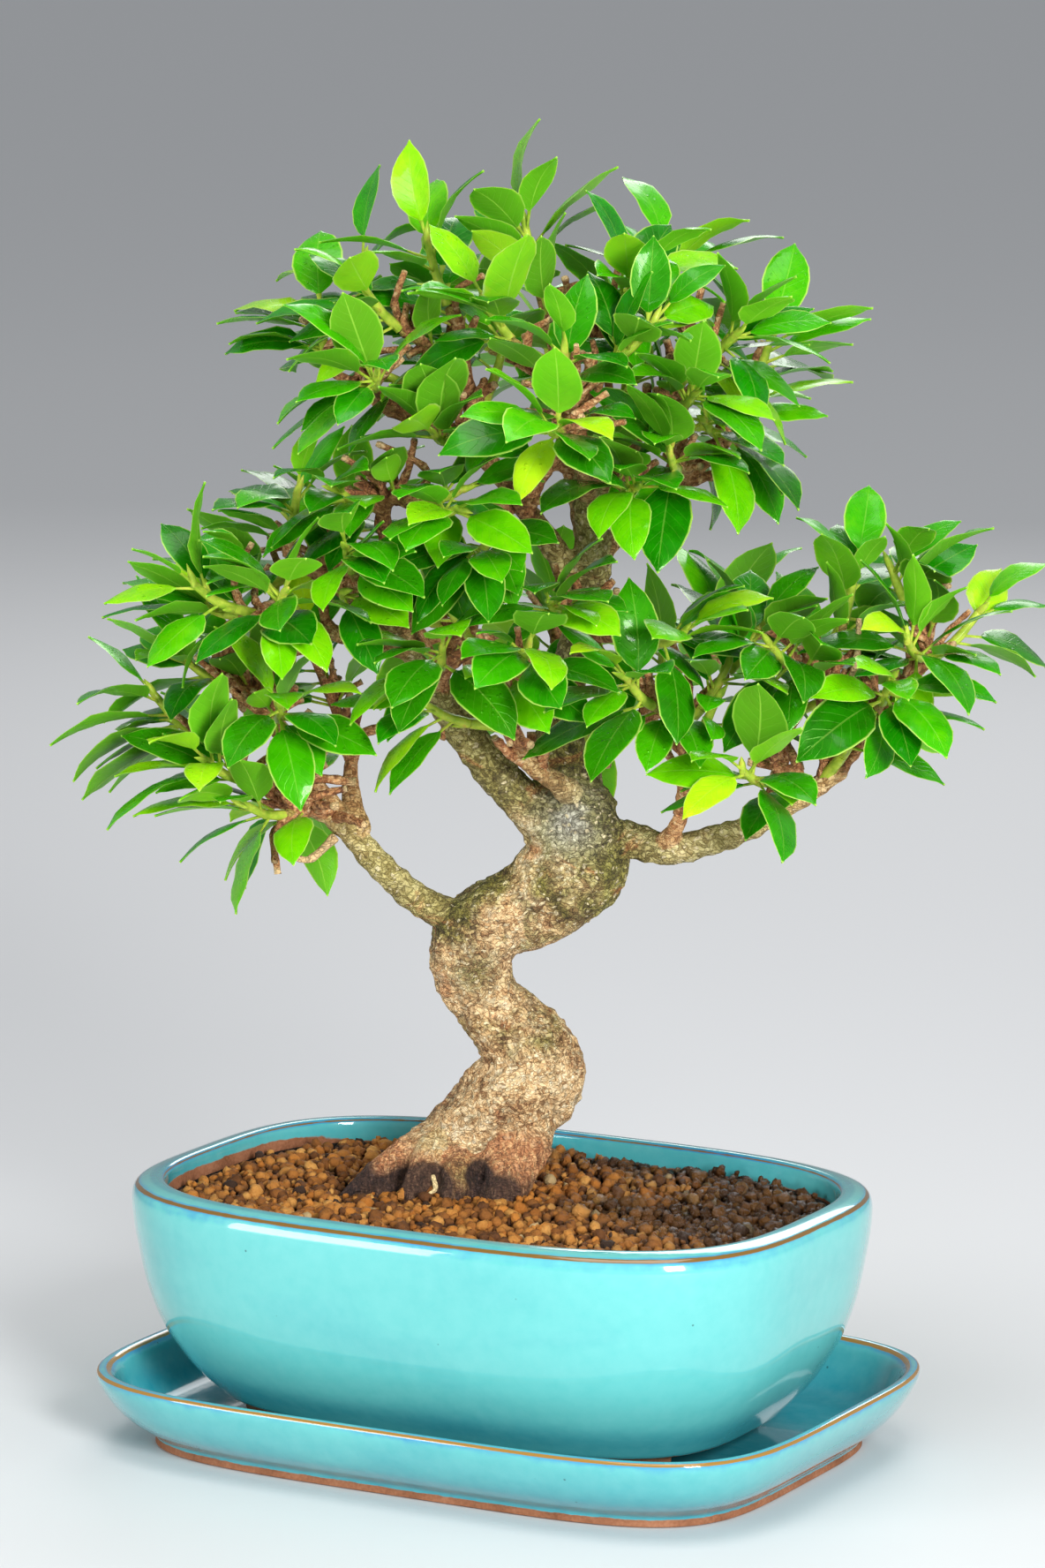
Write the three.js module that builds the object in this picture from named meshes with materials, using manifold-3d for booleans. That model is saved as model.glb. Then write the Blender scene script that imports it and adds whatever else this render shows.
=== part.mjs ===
// Banyan bonsai, a small-leaved fig grown with an S-shaped trunk, in its glazed pot on a drip saucer.
// Millimetres, +Z up. The origin is the middle of the saucer's flat foot, on the surface that it
// stands on. X runs along the pot's long side, and the pot's front looks along -Y.
import * as THREE from "three";
import { mergeVertices } from "three/addons/utils/BufferGeometryUtils.js";
import Module from "manifold-3d";

const wasm = await Module();
wasm.setup();

// Driving dimensions
const GAP = 0.3; // between pieces that rest on each other

const POT = { halfLength: 125, halfWidth: 88, squareness: 3.3, steps: 48 };
const SAUCER = { halfLength: 132, halfWidth: 97, squareness: 4.6, steps: 36 };
const POT_SHIFT = [-2.5, -1, 0]; // the pot stands a little off the middle of its saucer
const SAUCER_FLOOR_Z = 8;
const POT_BASE_Z = SAUCER_FLOOR_Z + GAP; // underside of the pot's feet
const POT_BELLY_Z = POT_BASE_Z + 6.2; // underside of the pot between its feet
const POT_FLOOR_Z = POT_BELLY_Z + 7.5; // top of the pot's floor, inside
const RIM_Z = 92.4;

// Each profile lists [inset from the outline, height], from the middle of the underside round to
// the middle of the floor inside.
const POT_PROFILE = [
  [31, POT_BELLY_Z], [18.5, 26], [9.5, 41], [4, 58], [0.9, 78], [0, 89.6], [1.6, RIM_Z],
  [9, RIM_Z], [10.6, 90.4], [11.4, 78], [16, 52], [30, POT_FLOOR_Z],
];
const SAUCER_PROFILE = [
  [18, 0], [17, 3.2], [9, 10], [2, 20], [0, 25.6], [1.4, 27.2],
  [3.8, 27.2], [5.8, 24], [11, 11.5], [19, SAUCER_FLOOR_Z],
];
const POT_FOOT = { inset: 35, wall: 12, gapLength: 104, gapWidth: 66 };
const DRAIN = { x: 48, radius: 8, sides: 12 };
const SCREEN = { size: 30, bar: 3, thickness: 1 };

const SOIL_Z = 85; // level of the soil at the pot's wall
const SOIL = { rings: 10, mound: 2, grain: 1.4 };

// The tree has a frame of its own: x to the right and y away as seen from its front, z up from the soil.
const TREE_PLACE = { x: -25.5, y: 17, z: 84, turn: 28.9 };

// Each path of wood lists [x, y, z, radius] from its root to its tip, and starts inside its parent.
const TRUNK_PATH = [
  [-6, 3, -28, 14], [-5, 3, -8, 17], [-1, 2, 8, 17.5], [10, 0, 21, 18.2], [18, -2, 30.5, 18.2],
  [26, -2, 38.5, 18], [25, -2, 47, 16.4], [18, -1, 56.5, 13], [9, 0, 66.5, 11.8],
  [4.5, 1, 77, 14], [4, 1, 87, 15.3], [12, 1, 94.5, 15], [22, 1, 99, 15], [32, 0, 105.5, 15.8],
  [40, 0, 115, 17], [41.4, 0, 128, 15.2], [39.5, 1, 141, 10.5],
];
const ROOTS = [
  [[-4, -3, 14, 12], [-20, -8, 7, 9], [-33, -12, 1, 6.5], [-46, -16, -8, 4]],
  [[21, -6, 25, 12], [17, -14, 13, 10.5], [12.5, -22, 2, 9], [8, -29, -11, 6]],
  [[3, -5, 13, 12], [-2, -16, 5, 9], [-6, -25, -7, 5.5]],
  [[6, 8, 8, 11], [22, 20, 3, 7.5], [36, 30, -4, 5], [46, 36, -12, 3.5]],
  [[-4, 8, 8, 11], [-14, 22, 2, 7], [-22, 32, -7, 4.5]],
];
const BRANCHES = {
  low_left: [
    [6, 1, 93, 7.5], [-6, -1, 97.5, 6], [-15, -2, 103, 5.4], [-27, -4, 114, 4.8], [-39, -6, 128, 4.2],
    [-47, -9, 135, 3.5], [-58, -12, 140, 2.9], [-74, -15, 150, 2.4],
  ],
  low_left_rear: [[-35, -6, 127, 3.6], [-38, 0, 141, 2.9], [-38, 6, 154, 2.3], [-42, 10, 164, 1.9]],
  low_left_mid: [[-41, -7, 132, 3.3], [-52, -9, 148, 2.7], [-61, -8, 161, 2.1], [-68, -6, 172, 1.8]],
  left: [
    [36, -2, 122, 9], [24, -4, 135, 7.4], [10, -6, 151, 6.6], [-2, -8, 168, 5.8],
    [-14, -10, 188, 4.8], [-27, -12, 203, 3.9], [-43, -13, 215, 3.1], [-58, -13, 225, 2.4],
  ],
  left_low: [[-16, -10, 191, 3.6], [-36, -22, 197, 2.8], [-55, -28, 202, 2.3], [-72, -31, 206, 1.9]],
  left_up: [[-16, -10, 190, 3.6], [-21, -15, 210, 3], [-24, -20, 228, 2.5], [-26, -24, 240, 2.1]],
  left_rear: [[-14, -9, 187, 3.4], [-28, 8, 199, 2.8], [-42, 22, 208, 2.3], [-54, 30, 214, 1.9]],
  leader: [
    [40, 2, 132, 12], [35, 4, 152, 8.6], [36, 6, 172, 7.4], [42, 6, 194, 6.6], [46, 4, 218, 5.8],
    [45, 2, 238, 5.1], [42, 0, 257, 4.2], [38, 0, 274, 3.3], [34, 0, 288, 2.6],
  ],
  leader_left: [
    [44, 5, 204, 5], [33, 2, 224, 4.2], [20, 0, 242, 3.5], [9, -2, 258, 3], [4, -4, 274, 2.5],
    [2, -4, 290, 2.1],
  ],
  crown_left: [[11, -2, 255, 3], [-10, -6, 268, 2.5], [-28, -8, 279, 2.1], [-44, -9, 287, 1.8]],
  crown_right: [[45, 2, 236, 3.8], [56, 4, 256, 3], [67, 4, 272, 2.5], [76, 2, 286, 2]],
  crown_far_right: [[46, 4, 220, 3.6], [61, 8, 235, 2.8], [77, 8, 247, 2.4], [91, 4, 260, 1.9]],
  crown_front: [[44, 2, 242, 3.4], [43, -17, 255, 2.8], [41, -34, 267, 2.3], [37, -46, 279, 1.9]],
  crown_rear: [[44, 4, 226, 3.6], [40, 24, 242, 3], [36, 42, 258, 2.4], [33, 56, 272, 2]],
  front: [[42, -4, 137, 5], [33, -15, 146, 3.7], [23, -23, 155, 3.2], [18, -29, 168, 2.7], [17, -33, 181, 2.2]],
  right: [
    [44, -1, 122, 8], [58, -3, 124, 6], [68, -5, 121.5, 5.4], [82, -8, 123, 4.9], [100, -12, 130, 4.4],
    [117, -15, 140.5, 3.8], [128, -17, 149, 3.3], [129, -18, 160, 2.7], [127, -18, 174, 2.2],
  ],
  right_out: [[129, -17, 149, 2.9], [139, -16, 164, 2.4], [150, -13, 176, 2.1], [160, -11, 186, 1.8]],
  right_rear: [[104, -13, 131, 3], [110, 0, 144, 2.5], [113, 14, 158, 2.1], [116, 26, 170, 1.8]],
  right_near: [[70, -6, 121, 3.4], [76, -16, 134, 2.5], [78, -20, 149, 2.1], [77, -22, 162, 1.8]],
  rear: [[42, 6, 127, 8], [45, 24, 134, 5.2], [44, 44, 144, 4.2], [40, 62, 157, 3.2], [35, 76, 170, 2.3]],
  rear_left: [[43, 48, 147, 3.2], [26, 60, 162, 2.5], [8, 66, 177, 1.9]],
  rear_right: [[44, 40, 142, 3.2], [63, 54, 156, 2.5], [80, 60, 170, 1.9]],
};

// Each leafy shoot lists its branch, how far along it the twig leaves, and where the brown twig
// ends and the green shoot starts, [x, y, z].
const SHOOTS = {
  crown: [
    ["leader_left", 1.0, -4, -4, 309], ["leader", 1.0, 27, 6, 315], ["leader", 1.0, 50, -10, 308],
    ["leader_left", 0.8, -20, -14, 302], ["crown_left", 0.7, -34, 6, 306], ["crown_left", 1.0, -46, -6, 293],
    ["crown_left", 0.6, -28, -34, 284], ["crown_right", 1.0, 74, 14, 308],
    ["crown_right", 1.0, 84, -8, 292], ["crown_far_right", 1.0, 102, 8, 282],
    ["crown_far_right", 1.0, 88, -12, 266], ["crown_far_right", 0.6, 74, -28, 256],
    ["left_up", 0.9, -8, -54, 244], ["crown_front", 0.8, 18, -34, 300], ["crown_front", 1.0, 52, -48, 294],
    ["crown_front", 0.7, 34, -62, 272], ["leader_left", 0.6, -4, -34, 266], ["crown_right", 0.5, 76, -32, 278],
    ["leader", 0.66, 56, -34, 250], ["crown_rear", 0.9, 52, 44, 296], ["crown_rear", 0.9, 10, 46, 290],
    ["crown_rear", 1.0, 34, 72, 276], ["crown_rear", 0.5, 74, 44, 260],
  ],
  left: [
    ["left_up", 1.0, -10, -34, 246], ["left_up", 1.0, -32, -30, 244], ["left", 1.0, -58, -14, 230],
    ["left_low", 1.0, -74, -30, 206], ["left_low", 0.8, -62, -46, 210], ["left", 0.7, -36, -48, 224],
    ["leader_left", 0.3, 10, -40, 232], ["left_rear", 0.8, -42, 36, 222], ["left_rear", 1.0, -60, 26, 212],
    ["left", 0.45, -6, -42, 190],
  ],
  low_left: [
    ["low_left_mid", 1.0, -82, -8, 180], ["low_left", 1.0, -90, -16, 162], ["low_left", 0.8, -76, -32, 150],
    ["low_left", 0.6, -60, -24, 136], ["low_left_mid", 0.7, -62, -28, 170], ["low_left_rear", 1.0, -46, 16, 174],
  ],
  middle: [
    ["leader", 0.35, 34, -40, 208], ["front", 1.0, 20, -46, 190], ["leader", 0.3, 66, -30, 196],
    ["right_near", 1.0, 66, -38, 176], ["rear_left", 1.0, -4, 72, 186], ["rear_right", 1.0, 90, 68, 182],
    ["rear", 1.0, 34, 88, 184],
  ],
  right: [
    ["right_near", 1.0, 92, -16, 184], ["right", 1.0, 114, -28, 188], ["right", 1.0, 132, -8, 200],
    ["right_out", 1.0, 154, -4, 206], ["right_out", 1.0, 158, -20, 190], ["right_out", 0.3, 144, -30, 176],
    ["right", 0.62, 104, -40, 150], ["right_rear", 1.0, 124, 34, 180],
  ],
};
const LEAVES_PER_SHOOT = 5;
const SEED = 7;

const CLAY = { glaze: 0x55c8c4, fired: 0xb5713f, soil: 0x96602c, bark: 0x8d7a5c, leaf: 0x3fa417, net: 0x20242a };

// Vectors as plain [x, y, z] lists
const add = (a, b, k = 1) => [a[0] + k * b[0], a[1] + k * b[1], a[2] + k * b[2]];
const sub = (a, b) => add(a, b, -1);
const scale = (a, k) => [a[0] * k, a[1] * k, a[2] * k];
const dot = (a, b) => a[0] * b[0] + a[1] * b[1] + a[2] * b[2];
const cross = (a, b) => [a[1] * b[2] - a[2] * b[1], a[2] * b[0] - a[0] * b[2], a[0] * b[1] - a[1] * b[0]];
const length = (a) => Math.sqrt(dot(a, a));
const unit = (a) => scale(a, 1 / length(a));
const square = (v, axis) => unit(add(v, axis, -dot(v, axis))); // v made square to axis
const turn = (v, axis, angle) =>
  add(
    add(scale(v, Math.cos(angle)), cross(axis, v), Math.sin(angle)),
    axis,
    dot(axis, v) * (1 - Math.cos(angle)),
  );
const UP = [0, 0, 1];
const RADIANS = Math.PI / 180;
const alike = (i, j) => j % 2 === 1; // splits both sides of a blade on the same diagonal
const between = ([low, high], t) => low + (high - low) * t;

// A repeatable stream of numbers from 0 to 1.
function dice(seed) {
  let state = seed >>> 0;
  return () => {
    state = (state + 0x6d2b79f5) >>> 0;
    let t = Math.imul(state ^ (state >>> 15), state | 1);
    t ^= t + Math.imul(t ^ (t >>> 7), t | 61);
    return ((t ^ (t >>> 14)) >>> 0) / 4294967296;
  };
}

// A closed skin over rings of points, each counterclockwise as seen from the next one. The first
// and last may be a single point. Where flip says so, a face is split on its other diagonal.
function loft(rings, flip = () => false) {
  const points = rings.flat();
  const faces = [];
  const starts = [];
  rings.reduce((start, ring) => (starts.push(start), start + ring.length), 0);
  for (let i = 0; i + 1 < rings.length; i++) {
    const [a, b] = [starts[i], starts[i + 1]];
    const [na, nb] = [rings[i].length, rings[i + 1].length];
    for (let j = 0; j < Math.max(na, nb); j++) {
      const k = (j + 1) % Math.max(na, nb);
      if (na === 1) faces.push([a, b + k, b + j]);
      else if (nb === 1) faces.push([a + j, a + k, b]);
      else if (flip(i, j)) faces.push([a + j, a + k, b + j], [a + k, b + k, b + j]);
      else faces.push([a + j, a + k, b + k], [a + j, b + k, b + j]);
    }
  }
  const last = starts[rings.length - 1];
  for (let j = 1; j + 1 < rings[0].length; j++) faces.push([0, j + 1, j]);
  for (let j = 1; j + 1 < rings.at(-1).length; j++) faces.push([last, last + j, last + j + 1]);
  const geometry = new THREE.BufferGeometry();
  geometry.setAttribute("position", new THREE.Float32BufferAttribute(points.flat(), 3));
  geometry.setIndex(faces.flat());
  return geometry;
}

function solidOf(geometry) {
  const bare = geometry.clone();
  for (const name of Object.keys(bare.attributes)) if (name !== "position") bare.deleteAttribute(name);
  const merged = mergeVertices(bare, 1e-4);
  return new wasm.Manifold(
    new wasm.Mesh({
      numProp: 3,
      vertProperties: new Float32Array(merged.attributes.position.array),
      triVerts: new Uint32Array(merged.index.array),
    }),
  );
}

function geometryOf(solid) {
  const mesh = solid.getMesh();
  const geometry = new THREE.BufferGeometry();
  geometry.setAttribute("position", new THREE.BufferAttribute(mesh.vertProperties, 3));
  geometry.setIndex(new THREE.BufferAttribute(mesh.triVerts, 1));
  geometry.computeVertexNormals();
  return geometry;
}

function box(width, depth, height, x, y, z) {
  return solidOf(new THREE.BoxGeometry(width, depth, height).translate(x, y, z));
}

function piece(name, shape, color, roughness) {
  const geometry = shape.isBufferGeometry ? shape : geometryOf(shape);
  const mesh = new THREE.Mesh(geometry, new THREE.MeshStandardMaterial({ color, roughness, metalness: 0 }));
  mesh.name = name;
  return mesh;
}

// The rounded rectangle that the pot and saucer follow: a superellipse, with its points gathered
// at the corners.
function outline(form, inset, z) {
  const [a, b] = [form.halfLength - inset, form.halfWidth - inset];
  return Array.from({ length: form.steps }, (_, i) => {
    const [c, s] = [Math.cos((2 * Math.PI * i) / form.steps), Math.sin((2 * Math.PI * i) / form.steps)];
    const bow = (v) => Math.sign(v) * Math.abs(v) ** (2 / form.squareness);
    return [a * bow(c), b * bow(s), z];
  });
}

function vessel(form, profile) {
  const rings = profile.map(([inset, z]) => outline(form, inset, z));
  return solidOf(loft([[[0, 0, profile[0][1]]], ...rings, [[0, 0, profile.at(-1)[1]]]]));
}

// Pot: thrown-looking oblong bowl with a flat rim, two drain holes and four unglazed corner feet.
function makePot() {
  const { inset, wall, gapLength, gapWidth } = POT_FOOT;
  const sink = 3; // how far the feet run up into the body
  const ring = (i) => solidOf(loft([outline(POT, i, POT_BASE_Z), outline(POT, i - 1, POT_BELLY_Z + sink)]));
  const height = POT_BELLY_Z - POT_BASE_Z;
  const middle = (POT_BASE_Z + POT_BELLY_Z) / 2 - 0.5;
  const feet = ring(inset)
    .subtract(solidOf(loft([outline(POT, inset + wall, 0), outline(POT, inset + wall, 30)])))
    .subtract(box(gapLength, 300, height + 1, 0, 0, middle))
    .subtract(box(300, gapWidth, height + 1, 0, 0, middle));
  const drill = new THREE.CylinderGeometry(DRAIN.radius, DRAIN.radius, 30, DRAIN.sides).rotateX(Math.PI / 2);
  const hole = (x) => solidOf(drill.clone().translate(x, 0, POT_BELLY_Z));
  return vessel(POT, POT_PROFILE).add(feet).subtract(hole(-DRAIN.x)).subtract(hole(DRAIN.x));
}

// Drain screen: a square of plastic net that keeps the soil in over a hole.
function makeScreen(x) {
  const { size, bar, thickness } = SCREEN;
  const z = POT_FLOOR_Z + GAP + thickness / 2;
  const cell = (size - 3 * bar) / 2;
  const pitch = (cell + bar) / 2;
  const corners = [[-1, -1], [1, -1], [1, 1], [-1, 1]];
  const gaps = corners.map(([i, j]) => box(cell, cell, 3 * thickness, x + i * pitch, j * pitch, z));
  return gaps.reduce((net, gap) => net.subtract(gap), box(size, size, thickness, x, 0, z));
}

// A smooth line through control points of any width, at a share from 0 to 1 of the way along it.
function along(path, share) {
  const spans = path.length - 1;
  const i = Math.min(spans - 1, Math.floor(share * spans));
  const t = share * spans - i;
  const at = (k) => path[Math.max(0, Math.min(spans, k))];
  const [p, q, r, s] = [at(i - 1), at(i), at(i + 1), at(i + 2)];
  return q.map(
    (_, k) =>
      0.5 *
      (2 * q[k] + (r[k] - p[k]) * t + (2 * p[k] - 5 * q[k] + 4 * r[k] - s[k]) * t * t +
        (3 * q[k] - p[k] - 3 * r[k] + s[k]) * t * t * t),
  );
}

const samples = (path, count) => Array.from({ length: count + 1 }, (_, i) => along(path, i / count));

// Rings round a tapered limb along points [x, y, z, radius]. The section has the given sides, and
// swell makes it uneven round the limb.
function limbRings(points, sides, swell = () => 1, grow = 0) {
  let side = Math.abs(unit(sub(points[1], points[0]))[2]) > 0.9 ? [1, 0, 0] : UP;
  return points.map((p, i) => {
    const ahead = unit(sub(points[Math.min(points.length - 1, i + 1)], points[Math.max(0, i - 1)]));
    side = square(side, ahead);
    const other = cross(ahead, side);
    return Array.from({ length: sides }, (_, j) => {
      const a = (2 * Math.PI * j) / sides;
      const r = (p[3] + grow) * swell(a, i);
      return add(add(p, side, r * Math.cos(a)), other, r * Math.sin(a));
    });
  });
}

const limb = (points, sides, swell, grow) => solidOf(loft(limbRings(points, sides, swell, grow)));

// A brown twig from its branch to the start of a shoot: it leaves along the branch and curves out.
const TWIG = { startRadius: 2.5, endRadius: 1.8, alongBranch: 0.3, rise: 0.12 };
function twigPath([branch, share, ...end]) {
  const path = BRANCHES[branch];
  const start = along(path, share);
  const heading = unit(sub(along(path, Math.min(1, share + 0.05)), along(path, Math.min(1, share + 0.05) - 0.05)));
  const reach = length(sub(end, start));
  const bend = add(add(start, heading, TWIG.alongBranch * reach), UP, TWIG.rise * reach);
  const radius = Math.min(start[3] * 0.85, TWIG.startRadius);
  return [0, 0.5, 1].map((t) => [
    ...[0, 1, 2].map((k) => (1 - t) ** 2 * start[k] + 2 * t * (1 - t) * bend[k] + t * t * end[k]),
    radius + (TWIG.endRadius - radius) * t,
  ]);
}

// A green shoot goes on from its twig and bends up. Its last leaf carries it on.
const SHOOT = { length: [11, 18], radii: [1.8, 1.6, 1.3], lift: 0.3 };
function shootPath(twig, roll) {
  const [before, start] = twig.slice(-2);
  const heading = unit(sub(start, before));
  const reach = between(SHOOT.length, roll());
  return SHOOT.radii.map((radius, i) => {
    const share = i / (SHOOT.radii.length - 1);
    return [...add(add(start, heading, GAP + share * reach), UP, SHOOT.lift * reach * share * share), radius];
  });
}

// A leaf: where it leaves the shoot, the way it heads, its up side, its sizes and how it bends.
const LEAF = { petiole: [6, 9], blade: [29, 40], aspect: [0.48, 0.58], bend: [20, 60] };
const LEAF_SPREAD = [78, 40]; // angle from the shoot of its lowest and highest leaf, in degrees
const GOLDEN_ANGLE = 137.5;
const CROWN_AXIS = [36, 0]; // x and y that the foliage faces away from
const LOWEST_LEAF = 0.15; // how far along the shoot
const LEAF_DRAWS = ["spread", "roll", "petiole", "blade", "aspect", "bend", "azimuth"];
const SIZES = [1, 0.85, 0.7];
const TRIES = [0, 28, -28, 56, -56, 84, -84, 112, -112, 140, -140, 168]; // turns round the shoot, in degrees

function leafAt(shoot, share, azimuth, draw, size) {
  const root = along(shoot, share).slice(0, 3);
  const ahead = unit(sub(along(shoot, Math.min(1, share + 0.02)), along(shoot, Math.max(0, share - 0.02))));
  const outward = unit([root[0] - CROWN_AXIS[0], root[1] - CROWN_AXIS[1], 0]);
  const side = square(Math.abs(ahead[2]) > 0.9 ? [1, 0, 0] : UP, ahead);
  const round = turn(side, ahead, azimuth * RADIANS);
  const last = share === 1;
  const spread = (between(LEAF_SPREAD, share) + 16 * (draw.spread - 0.5)) * RADIANS;
  const bare = add(scale(ahead, Math.cos(spread)), round, Math.sin(spread));
  const heading = last ? ahead : unit(add(add(bare, outward, 0.3), UP, 0.08));
  const above = turn(square(add(UP, outward, 0.3), heading), heading, (draw.roll - 0.5) * 50 * RADIANS);
  return {
    root, heading, above, last,
    petiole: between(LEAF.petiole, draw.petiole),
    blade: between(LEAF.blade, draw.blade) * (1 - 0.2 * share * share) * size,
    aspect: between(LEAF.aspect, draw.aspect),
    bend: between(LEAF.bend, draw.bend) * RADIANS,
  };
}

// The midrib at a distance from the shoot, with the way ahead and the up side there. It is an arc
// that bends down from the blade's base on.
function midrib(leaf, distance) {
  const past = Math.max(0, distance - leaf.petiole);
  const angle = (leaf.bend * past) / leaf.blade;
  const straight = Math.min(distance, leaf.petiole);
  const radius = leaf.blade / leaf.bend;
  const at = add(
    add(leaf.root, leaf.heading, straight + radius * Math.sin(angle)),
    leaf.above,
    -radius * (1 - Math.cos(angle)),
  );
  return {
    at,
    ahead: add(scale(leaf.heading, Math.cos(angle)), leaf.above, -Math.sin(angle)),
    above: add(scale(leaf.above, Math.cos(angle)), leaf.heading, Math.sin(angle)),
  };
}

// Half the blade's width as a share of the widest, at a share of its length.
const LEAF_OUTLINE = [[0, 0.1], [0.22, 0.74], [0.45, 1], [0.62, 0.92], [0.8, 0.6], [0.92, 0.2], [1, 0]];
function halfWidth(share) {
  const i = LEAF_OUTLINE.findIndex(([s]) => s >= share);
  if (i <= 0) return LEAF_OUTLINE[0][1];
  const [[s0, w0], [s1, w1]] = [LEAF_OUTLINE[i - 1], LEAF_OUTLINE[i]];
  return w0 + ((w1 - w0) * (share - s0)) / (s1 - s0);
}

function acrossLeaf(leaf, share, side) {
  const { at, ahead, above } = midrib(leaf, leaf.petiole + share * leaf.blade);
  const half = 0.5 * leaf.blade * leaf.aspect * halfWidth(share) * side;
  return add(at, cross(ahead, above), half);
}

// Points spread over a leaf, for keeping the leaves of different shoots apart.
const PROBE_SHARES = [0.06, 0.18, 0.3, 0.42, 0.54, 0.66, 0.78, 0.9, 1];
const PROBE_SIDES = [-1, -0.5, 0, 0.5, 1];
const probes = (leaf) => [
  ...PROBE_SHARES.flatMap((share) => PROBE_SIDES.map((side) => acrossLeaf(leaf, share, side))),
  midrib(leaf, 0.4 * leaf.petiole).at,
  midrib(leaf, 0.8 * leaf.petiole).at,
];

const CLEAR = { leaf: 4.7, ownLeaf: 3, wood: 3.2, reach: 40 };
function isClear(points, obstacles, shoot) {
  const middle = points[22];
  for (const { at, keep, owner, stem } of obstacles) {
    const own = owner === shoot;
    if (own && stem) continue;
    const room = own ? CLEAR.ownLeaf : keep;
    if (length(sub(at, middle)) > CLEAR.reach) continue;
    for (const p of points) if (length(sub(at, p)) < room) return false;
  }
  return true;
}

// All the shoots, each with its stem and its leaves, placed so that no two shoots touch.
function growShoots() {
  const shoots = Object.entries(SHOOTS).flatMap(([region, rows]) =>
    rows.map((row, i) => ({ name: `leafy_shoot_${region}_${String(i + 1).padStart(2, "0")}`, row })),
  );
  const obstacles = [];
  const wood = (path, owner, count) =>
    samples(path, count).forEach((p) => {
      obstacles.push({ at: p.slice(0, 3), keep: p[3] + CLEAR.wood, owner, stem: true });
    });
  wood(TRUNK_PATH, -1, 60);
  for (const path of Object.values(BRANCHES)) wood(path, -1, 30);
  shoots.forEach((shoot, i) => {
    shoot.roll = dice(SEED * 1000 + i);
    shoot.twig = twigPath(shoot.row);
    shoot.stem = shootPath(shoot.twig, shoot.roll);
    wood(shoot.twig, i, 9);
    wood(shoot.stem, i, 6);
    shoot.leaves = [];
  });
  for (let k = LEAVES_PER_SHOOT - 1; k >= 0; k--) {
    shoots.forEach((shoot, i) => {
      const share = LOWEST_LEAF + ((1 - LOWEST_LEAF) * k) / (LEAVES_PER_SHOOT - 1);
      const draw = {};
      for (const name of LEAF_DRAWS) draw[name] = shoot.roll();
      const azimuth = i * 71 + k * GOLDEN_ANGLE + 30 * (draw.azimuth - 0.5);
      const grown = SIZES.flatMap((size) => TRIES.map((turned) => [azimuth + turned, size]));
      for (const [toward, size] of grown) {
        const leaf = leafAt(shoot.stem, share, toward, draw, size);
        const points = probes(leaf);
        if (!isClear(points, obstacles, i)) continue;
        shoot.leaves.push(leaf);
        points.forEach((at) => obstacles.push({ at, keep: CLEAR.leaf, owner: i }));
        break;
      }
    });
  }
  return shoots;
}

// A leaf's sections: a thin blade on its stalk, with a ridge along the midrib.
const BLADE = { stalk: 0.55, thickness: 1.0, stations: [0.03, 0.36, 0.74] };
function leafRings(leaf) {
  const { at, ahead, above } = midrib(leaf, 0);
  const side = scale(cross(ahead, above), BLADE.stalk);
  const low = add(at, above, -0.5 * BLADE.stalk);
  const foot = [add(at, above, BLADE.stalk), add(low, side), sub(low, side)];
  const across = (share) => {
    const middle = midrib(leaf, leaf.petiole + share * leaf.blade);
    const ridge = add(middle.at, middle.above, BLADE.thickness);
    return [ridge, acrossLeaf(leaf, share, 1), acrossLeaf(leaf, share, -1)];
  };
  const tip = midrib(leaf, leaf.petiole + leaf.blade).at;
  return [foot, ...BLADE.stations.map(across), [tip]];
}

const STEM_SIDES = 3;
function makeShoot({ stem, leaves }) {
  const last = leaves.filter((leaf) => leaf.last).flatMap((leaf) => leafRings(leaf).slice(1));
  const others = leaves.filter((leaf) => !leaf.last).map((leaf) => solidOf(loft(leafRings(leaf), alike)));
  return wasm.Manifold.union([solidOf(loft([...limbRings(stem, STEM_SIDES), ...last])), ...others]);
}

// Trunk: one grown piece with its surface roots, branches and brown twigs.
const TRUNK = { sides: 12, rings: 21, rootSides: 5, branchSides: 4, twigSides: 3 };
const trunkSwell = (a, i) => 1 + 0.05 * Math.sin(2 * a + 0.8 * i) + 0.035 * Math.sin(5 * a - 1.3 * i);
const trunkBase = (grow) => [
  limb(samples(TRUNK_PATH, TRUNK.rings), TRUNK.sides, trunkSwell, grow),
  ...ROOTS.map((path) => limb(samples(path, 4), TRUNK.rootSides, undefined, grow)),
];

function makeTrunk(shoots) {
  const tips = new Set();
  const limbs = Object.entries(BRANCHES).map(([name, path]) => {
    const carry = shoots.find(({ row }) => row[0] === name && row[1] === 1); // goes on from the tip
    tips.add(carry);
    const sides = TRUNK.branchSides + (path[0][3] > 6 ? 2 : 0);
    return limb([...samples(path, path.length - 1), ...(carry ? carry.twig.slice(1) : [])], sides);
  });
  const twigs = shoots.filter((shoot) => !tips.has(shoot)).map(({ twig }) => limb(twig, TRUNK.twigSides));
  return wasm.Manifold.union([...trunkBase(0), ...limbs, ...twigs]);
}

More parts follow.
